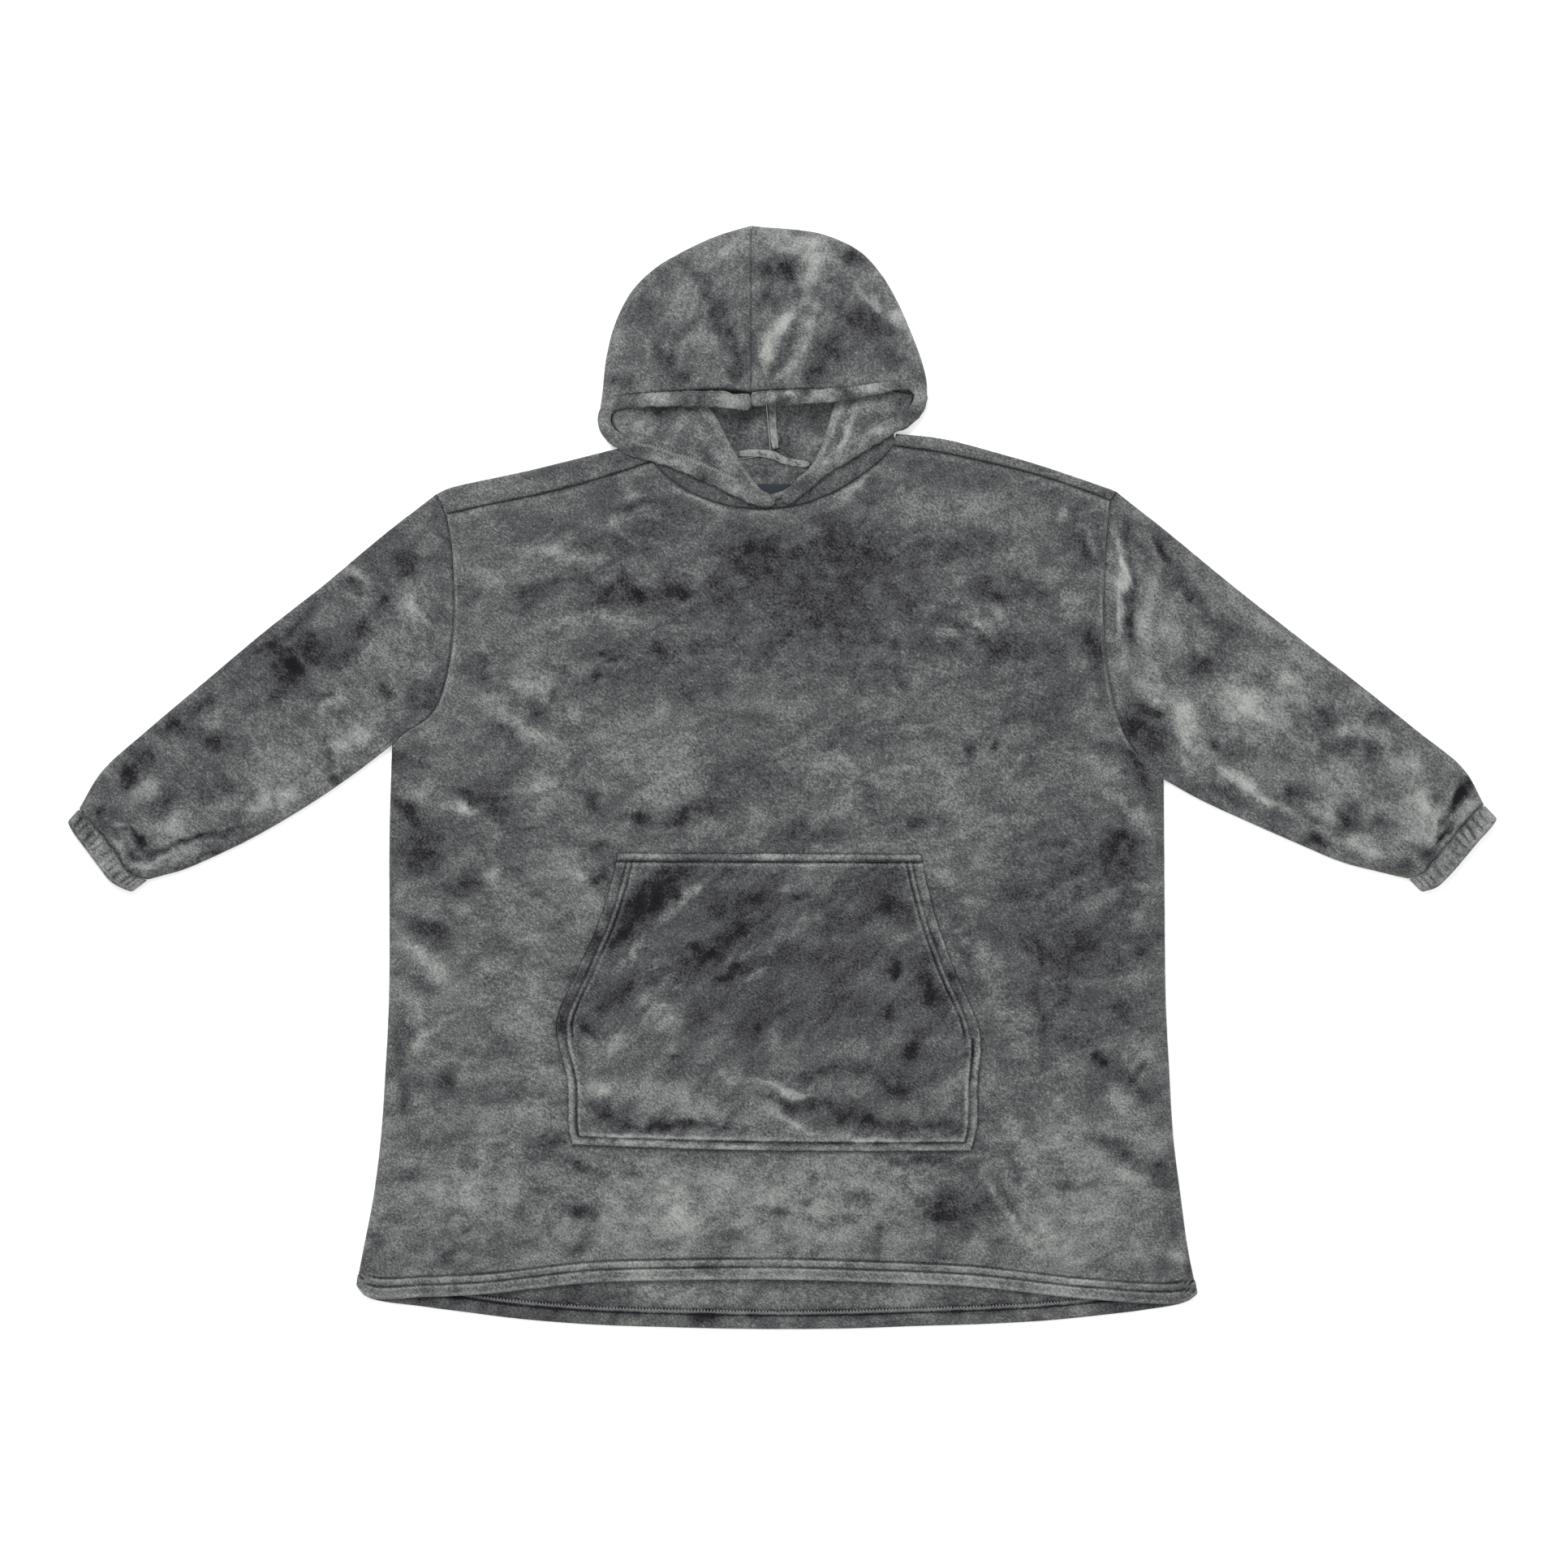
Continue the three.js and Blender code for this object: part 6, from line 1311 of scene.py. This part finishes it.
def crown(table, into):
    """One half of the hood, from the hem of its opening over the outer edge to the neck seam."""
    at = np.linspace(0, 1, HOOD_RIBS)
    lips, edges = (curve(table[name], at) for name in ("lip", "edge"))
    neck = lambda x: np.interp(x, *np.array(BACK_NECK).T) + SEAM_GAP / 2
    first_sewn = [y for _, y in table["base"]].index(0)
    bases = curve(table["base"][:first_sewn] + [(x, neck(x)) for x, _ in table["base"][first_sewn:]], at)
    sewn = at * (len(table["base"]) - 1) >= first_sewn
    bases[sewn, 1] = neck(bases[sewn, 0])
    heights = curve([(k, h) for k, h in enumerate(table["height"])], at)[:, 1]
    for line in (lips, edges, bases):
        line[-1, 0] += into * SEAM_GAP / 2
    inward_top, inward_low = unit(lips - edges), unit(bases - edges)
    inward_low[0] = inward_top[0]
    rim = np.minimum(2 * HOOD_EDGE_MID + FLOOR_MID, heights)
    reach = ((rim - FLOOR_MID) / 2 + HALF)[:, None]
    top_end, low_end = edges + inward_top * reach, edges + inward_low * reach
    span = np.linalg.norm(top_end - lips, axis=1)
    start = np.minimum(RIM_DEPTH / span, 0.5)[:, None]
    steps = np.concatenate([[0, 0.006, 0.015, 0.03, 0.05, 0.075], np.linspace(0.1, 1, 46)[:-1]])
    t = start + (1 - start) * steps
    place = between(lips, top_end, t)
    x, y = place[..., 0], place[..., 1]
    doming = np.sin(np.pi / 2 * (1 - t)) + 0.35 * np.sin(np.pi * t)
    inside = ramp(t - start, 0, 0.25) * ramp(t, 1, 0.75)
    level = rim[:, None] + (heights - rim)[:, None] * doming
    level += inside * (bumps(HOOD_CREASES, x, y) + 1.6 * relief(x, y, 71))
    from_rim = (t - start) * span[:, None]
    from_seam = np.abs(x - (CROWN_SEAM_X + into * SEAM_GAP / 2))
    level += pucker(from_rim) + 1.1 * pucker(from_seam)
    t_low = np.concatenate([np.linspace(0.05, 0.9, 22), [0.94, 0.97, 0.985, 1]])
    mid_low = raised(between(low_end, bases, t_low[None]), FLOOR_MID)
    mid, out, thick = folded_over(
        raised(place, level), mid_low, edges, inward_top, inward_low, FLOOR_MID, rim,
        [90, 72, 54, 36, 18, 0], 72)
    floor_side = np.where((mid[..., 2] < FLOOR_MID + 1) & (out[..., 2] < 0), HALF, thick)
    tone = pile_and_shading_streaks(HOOD_STREAKS, mid[..., 0], mid[..., 1], 73)
    # Painted shade along the crown just behind its hem, and the under layer seen through the opening is
    # set darker, painted shade.
    tone[:, :len(steps)] -= 0.5 * line_at(from_rim, 0, 1.6)
    tone[:, -len(t_low):] = -0.1 + 0.2 * wobble(mid_low[..., 0], mid_low[..., 1], 16, 74)
    area = cut_area(lips, edges[::-1]) + cut_area(edges, bases[::-1])
    return wall(mid, out, floor_side, thick), np.tile(tone.ravel(), 2), area


def flap(table):
    """A front edge turned out: from its hem to the roll line, round it, and down to the neck seam."""
    at = np.linspace(0, 1, HOOD_RIBS)
    lips, rolls, necks = (curve(table[name], at) for name in ("lip", "roll", "neck"))
    lift = curve([(k, v) for k, v in enumerate(table["lift"])], at)[:, 1]
    sewn = at * (len(table["lip"]) - 1) <= FLAP_SEWN
    necks[sewn] += [0, SEAM_GAP / 2]
    to_lip, to_neck = unit(lips - rolls), unit(necks - rolls)
    flap_level, under_level = FLAP_MID + lift, TOP_MID + lift
    reach = HALF + (FLAP_MID - TOP_MID) / 2
    flap_end, under_start = rolls + to_lip * reach, rolls + to_neck * reach
    span = np.linalg.norm(lips - flap_end, axis=1)
    start = np.minimum((RIM_DEPTH - 1) / span, 0.55)[:, None]
    steps = np.concatenate([[0, 0.01, 0.025, 0.05, 0.08], np.linspace(0.12, 1, 26)[:-1]])
    t = start + (1 - start) * steps
    place = between(lips, flap_end, t)
    x, y = place[..., 0], place[..., 1]
    from_rim = (t - start) * span[:, None]
    full = 0.5 + 0.8 * relief(x, y, 75) + bumps(FLAP_CREASES, x, y)
    level = flap_level[:, None] + pucker(from_rim) + ramp(from_rim, 3, 12) * full
    t_low = np.linspace(0.08, 1, 22)
    low_place = between(under_start, necks, t_low[None])
    to_seam = (1 - t_low) * np.linalg.norm(necks - under_start, axis=1)[:, None]
    mid_low = raised(low_place, under_level[:, None] + np.where(sewn[:, None], 0.7 * pucker(to_seam), 0))
    mid, out, thick = folded_over(
        raised(place, level), mid_low, rolls, to_lip, to_neck, under_level, flap_level,
        [90, 68, 46, 23, 0], 76)
    tone = pile_and_shading_streaks(FLAP_STREAKS, mid[..., 0], mid[..., 1], 77)
    # A painted highlight along the roll line, and painted shade over the under layer beneath the
    # turned-out edge.
    tone[:, len(steps) - 2:len(steps) + 3] += 0.14
    tone[:, len(steps) + 5:] -= 0.16
    area = cut_area(lips, rolls[::-1]) + cut_area(rolls, necks[::-1])
    return wall(mid, out, thick, thick), np.tile(tone.ravel(), 2), area


hood_fleece = plush("plush_fleece_hood", seed=5, brush_angle=60, stretch=1.6, tone=0.56)
for side, ribs, front_edge, rim_table, into in (
        ("left", HOOD_LEFT, FLAP_LEFT, RIM_LEFT, -1), ("right", HOOD_RIGHT, FLAP_RIGHT, RIM_RIGHT, 1)):
    crown_faces, crown_tone, crown_area = crown(ribs, into)
    flap_faces, flap_tone, flap_area = flap(front_edge)
    rings = plump_band(rim_table, RIM_THICK, 81 + into)
    rings[0, :, 0] = CROWN_SEAM_X + into * SEAM_GAP / 2
    hem_tone = 0.06 + pile_and_shading_streaks(RIM_STREAKS, rings[..., 0], rings[..., 1], 83)
    crown_piece = piece("hood_crown_" + side, *crown_faces, hood_fleece, crown_tone)
    flap_piece = piece("hood_front_edge_" + side, *flap_faces, hood_fleece, flap_tone)
    hem_piece = piece("hood_hem_" + side, *ringed(rings), hood_fleece, hem_tone.ravel())
    for made in (crown_piece, flap_piece, hem_piece):
        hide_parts("hood_" + side)
        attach(made, "root")
    # The points of each ring that face the opening and the cloth behind the hem, counted from its side
    mouth_point, cloth_point = (3, 11) if into < 0 else (11, 3)
    middle_y = rings[..., 1].mean(axis=1)
    upper_seam = rings[middle_y > UPPER_HEM_FROM][3:, cloth_point] + [0, 0, 0.1]
    is_lower = (middle_y > LOWER_HEM_FROM) & (middle_y < LOWER_HEM_TO[side])
    lower_seam = rings[is_lower][2:-2, mouth_point] + [0, 0, 0.15]
    sewn_on("hood_fleece", "hood_upper_stitches_" + side, running_stitch(upper_seam))
    lower_stitches = cover_stitch(lower_seam, width=3, pitch=3)
    sewn_on("hood_fleece", "hood_lower_stitches_" + side, lower_stitches, thread=pale_thread)

# The bound seams inside the neck
# Seen through the opening, the back of the neck seam and the foot of the crown seam are overlocked:
# two raw fleece edges bound together by a pale thread.

NECK_RIDGE = [
    (-43, 319.4, 3.4, 2.8), (-24.6, 319.9, 3.6, 3.6), (-8.6, 317.6, 3.9, 4), (2.1, 312.5, 3.6, 3.6),
    (18.1, 309.5, 3.6, 3.6), (27, 308.7, 3.4, 2.8),
]
CROWN_RIDGE = [
    (-6.6, 324, 3.6, 3.2), (-8, 335, 3.6, 3.5), (-9.4, 350, 3.6, 3.5), (-10, 365, 3.6, 3.5),
    (-12, 395, 3.6, 3), (-13.5, 420, 3.4, 2.4),
]
bindings = []
binding_tones = []
overlocks = []
for table in (NECK_RIDGE, CROWN_RIDGE):
    rings = plump_band(table, 1.4, 87)
    bindings.append(ringed(rings))
    x, y = rings[..., 0], rings[..., 1]
    binding_tones.append(0.15 + 0.35 * wobble(x + y, x, 4, 89).ravel())
    over = np.arange(2, len(rings) - 4, 3)
    near, far = rings[over, 2], rings[over + 2, 12]
    overlocks.append(stitches(near + [0, 0, 0.2], far + [0, 0, 0.2], radius=0.4))
binding = piece("neck_seam_binding", *join(*bindings), hood_fleece, np.concatenate(binding_tones))
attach(binding, "root")
sewn_on("hood_fleece", "neck_seam_overlock", *overlocks, thread=pale_thread)

# The neck label
# A small woven satin tape in navy, folded under at its ends and stitched inside the back of the neck. It
# is made here as one flat tape, without its folds or stitches.

LABEL_CENTRE = (-11, 280)
LABEL_WIDTH = 46
LABEL_HEIGHT = 19
LABEL_THICK = 0.5
across = LABEL_CENTRE[0] + np.linspace(-0.5, 0.5, 40) * LABEL_WIDTH
upward = LABEL_CENTRE[1] + np.linspace(-0.5, 0.5, 18) * LABEL_HEIGHT
x, y = np.meshgrid(across, upward)
level = CLOTH + 0.3 + LABEL_THICK / 2 + 0.1 * wobble(x, y, 12, 91) + 0.25
label_mid = raised(np.stack([x, y], axis=-1), level)
half_tape = np.full(x.shape, LABEL_THICK / 2)
satin = bpy.data.materials.new("woven_satin_tape")
satin.use_nodes = True
satin_tree = satin.node_tree
satin_shader = satin_tree.nodes["Principled BSDF"]
satin_place = add(satin_tree, "ShaderNodeTexCoord", {}).outputs["Object"]
# The weave's ribs are about 0.2 mm apart. They are drawn 1 mm apart so that they show
weave = add(satin_tree, "ShaderNodeTexWave", {
    "Vector": satin_place, "Scale": 300.0, "Distortion": 0.6,
}, bands_direction="Y")
tape_tones = add(satin_tree, "ShaderNodeValToRGB", {"Fac": weave.outputs["Fac"]})
tape_tones.color_ramp.elements[0].color = linear("#0f1721")
tape_tones.color_ramp.elements[1].color = linear("#1a2838")
satin_tree.links.new(tape_tones.outputs["Color"], satin_shader.inputs["Base Color"])
satin_shader.inputs["Roughness"].default_value = 0.7
label_faces = wall(label_mid, level_out(label_mid), half_tape, half_tape)
label = piece("neck_label_tape", *label_faces, satin)
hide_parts("neck_label")
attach(label, "root")

# Light, floor and camera
# The garment lies on a plain pale floor under a large soft light from above its hood, with the
# camera straight over it.

floor_material = bpy.data.materials.new("pale_floor")
floor_material.use_nodes = True
floor_shader = floor_material.node_tree.nodes["Principled BSDF"]
floor_shader.inputs["Base Color"].default_value = linear("#f4f4f2")
floor_shader.inputs["Roughness"].default_value = 0.8
floor_shader.inputs["Emission Color"].default_value = linear("#ffffff")
floor_shader.inputs["Emission Strength"].default_value = 0.4
FLOOR_SPREAD = 8000
FLOOR_LEVEL = -0.4
floor_corners = np.array([
    (x * FLOOR_SPREAD, y * FLOOR_SPREAD, FLOOR_LEVEL) for x, y in ((-1, -1), (1, -1), (1, 1), (-1, 1))
]) * 0.001
floor_mesh = bpy.data.meshes.new("floor")
floor_mesh.from_pydata(floor_corners.tolist(), [], [(0, 1, 2, 3)])
floor_mesh.materials.append(floor_material)
floor = bpy.data.objects.new("floor", floor_mesh)
bpy.context.collection.objects.link(floor)

scene = bpy.context.scene
scene.view_settings.view_transform = "Standard"
world = bpy.data.worlds.new("studio")
world.use_nodes = True
world.node_tree.nodes["Background"].inputs["Color"].default_value = linear("#ffffff")
world.node_tree.nodes["Background"].inputs["Strength"].default_value = 0.62
scene.world = world


def soft_light(name, place, size, power):
    """A large square lamp that faces the middle of the garment."""
    lamp = bpy.data.lights.new(name, "AREA")
    lamp.size = size
    lamp.energy = power
    made = bpy.data.objects.new(name, lamp)
    made.location = place
    toward = -made.location
    made.rotation_euler = toward.to_track_quat("-Z", "Y").to_euler()
    bpy.context.collection.objects.link(made)


soft_light("key", (-1.0, 2.6, 3.2), 1.8, 120)
soft_light("fill", (2.2, -1.6, 3.0), 2.5, 25)

SENSOR = 36
CAMERA_HEIGHT = 6.0  # metres, as are the lamps' places and the two lengths below
GARMENT_LEVEL = 0.005
FRAME_WIDTH = 1.5456  # what 1932 pixels span, at 0.8 mm a pixel
camera_data = bpy.data.cameras.new("camera")
camera_data.sensor_width = SENSOR
camera_data.lens = SENSOR * (CAMERA_HEIGHT - GARMENT_LEVEL) / FRAME_WIDTH
camera = bpy.data.objects.new("camera", camera_data)
camera.location = (0.0016, -0.0064, CAMERA_HEIGHT)
bpy.context.collection.objects.link(camera)
scene.camera = camera
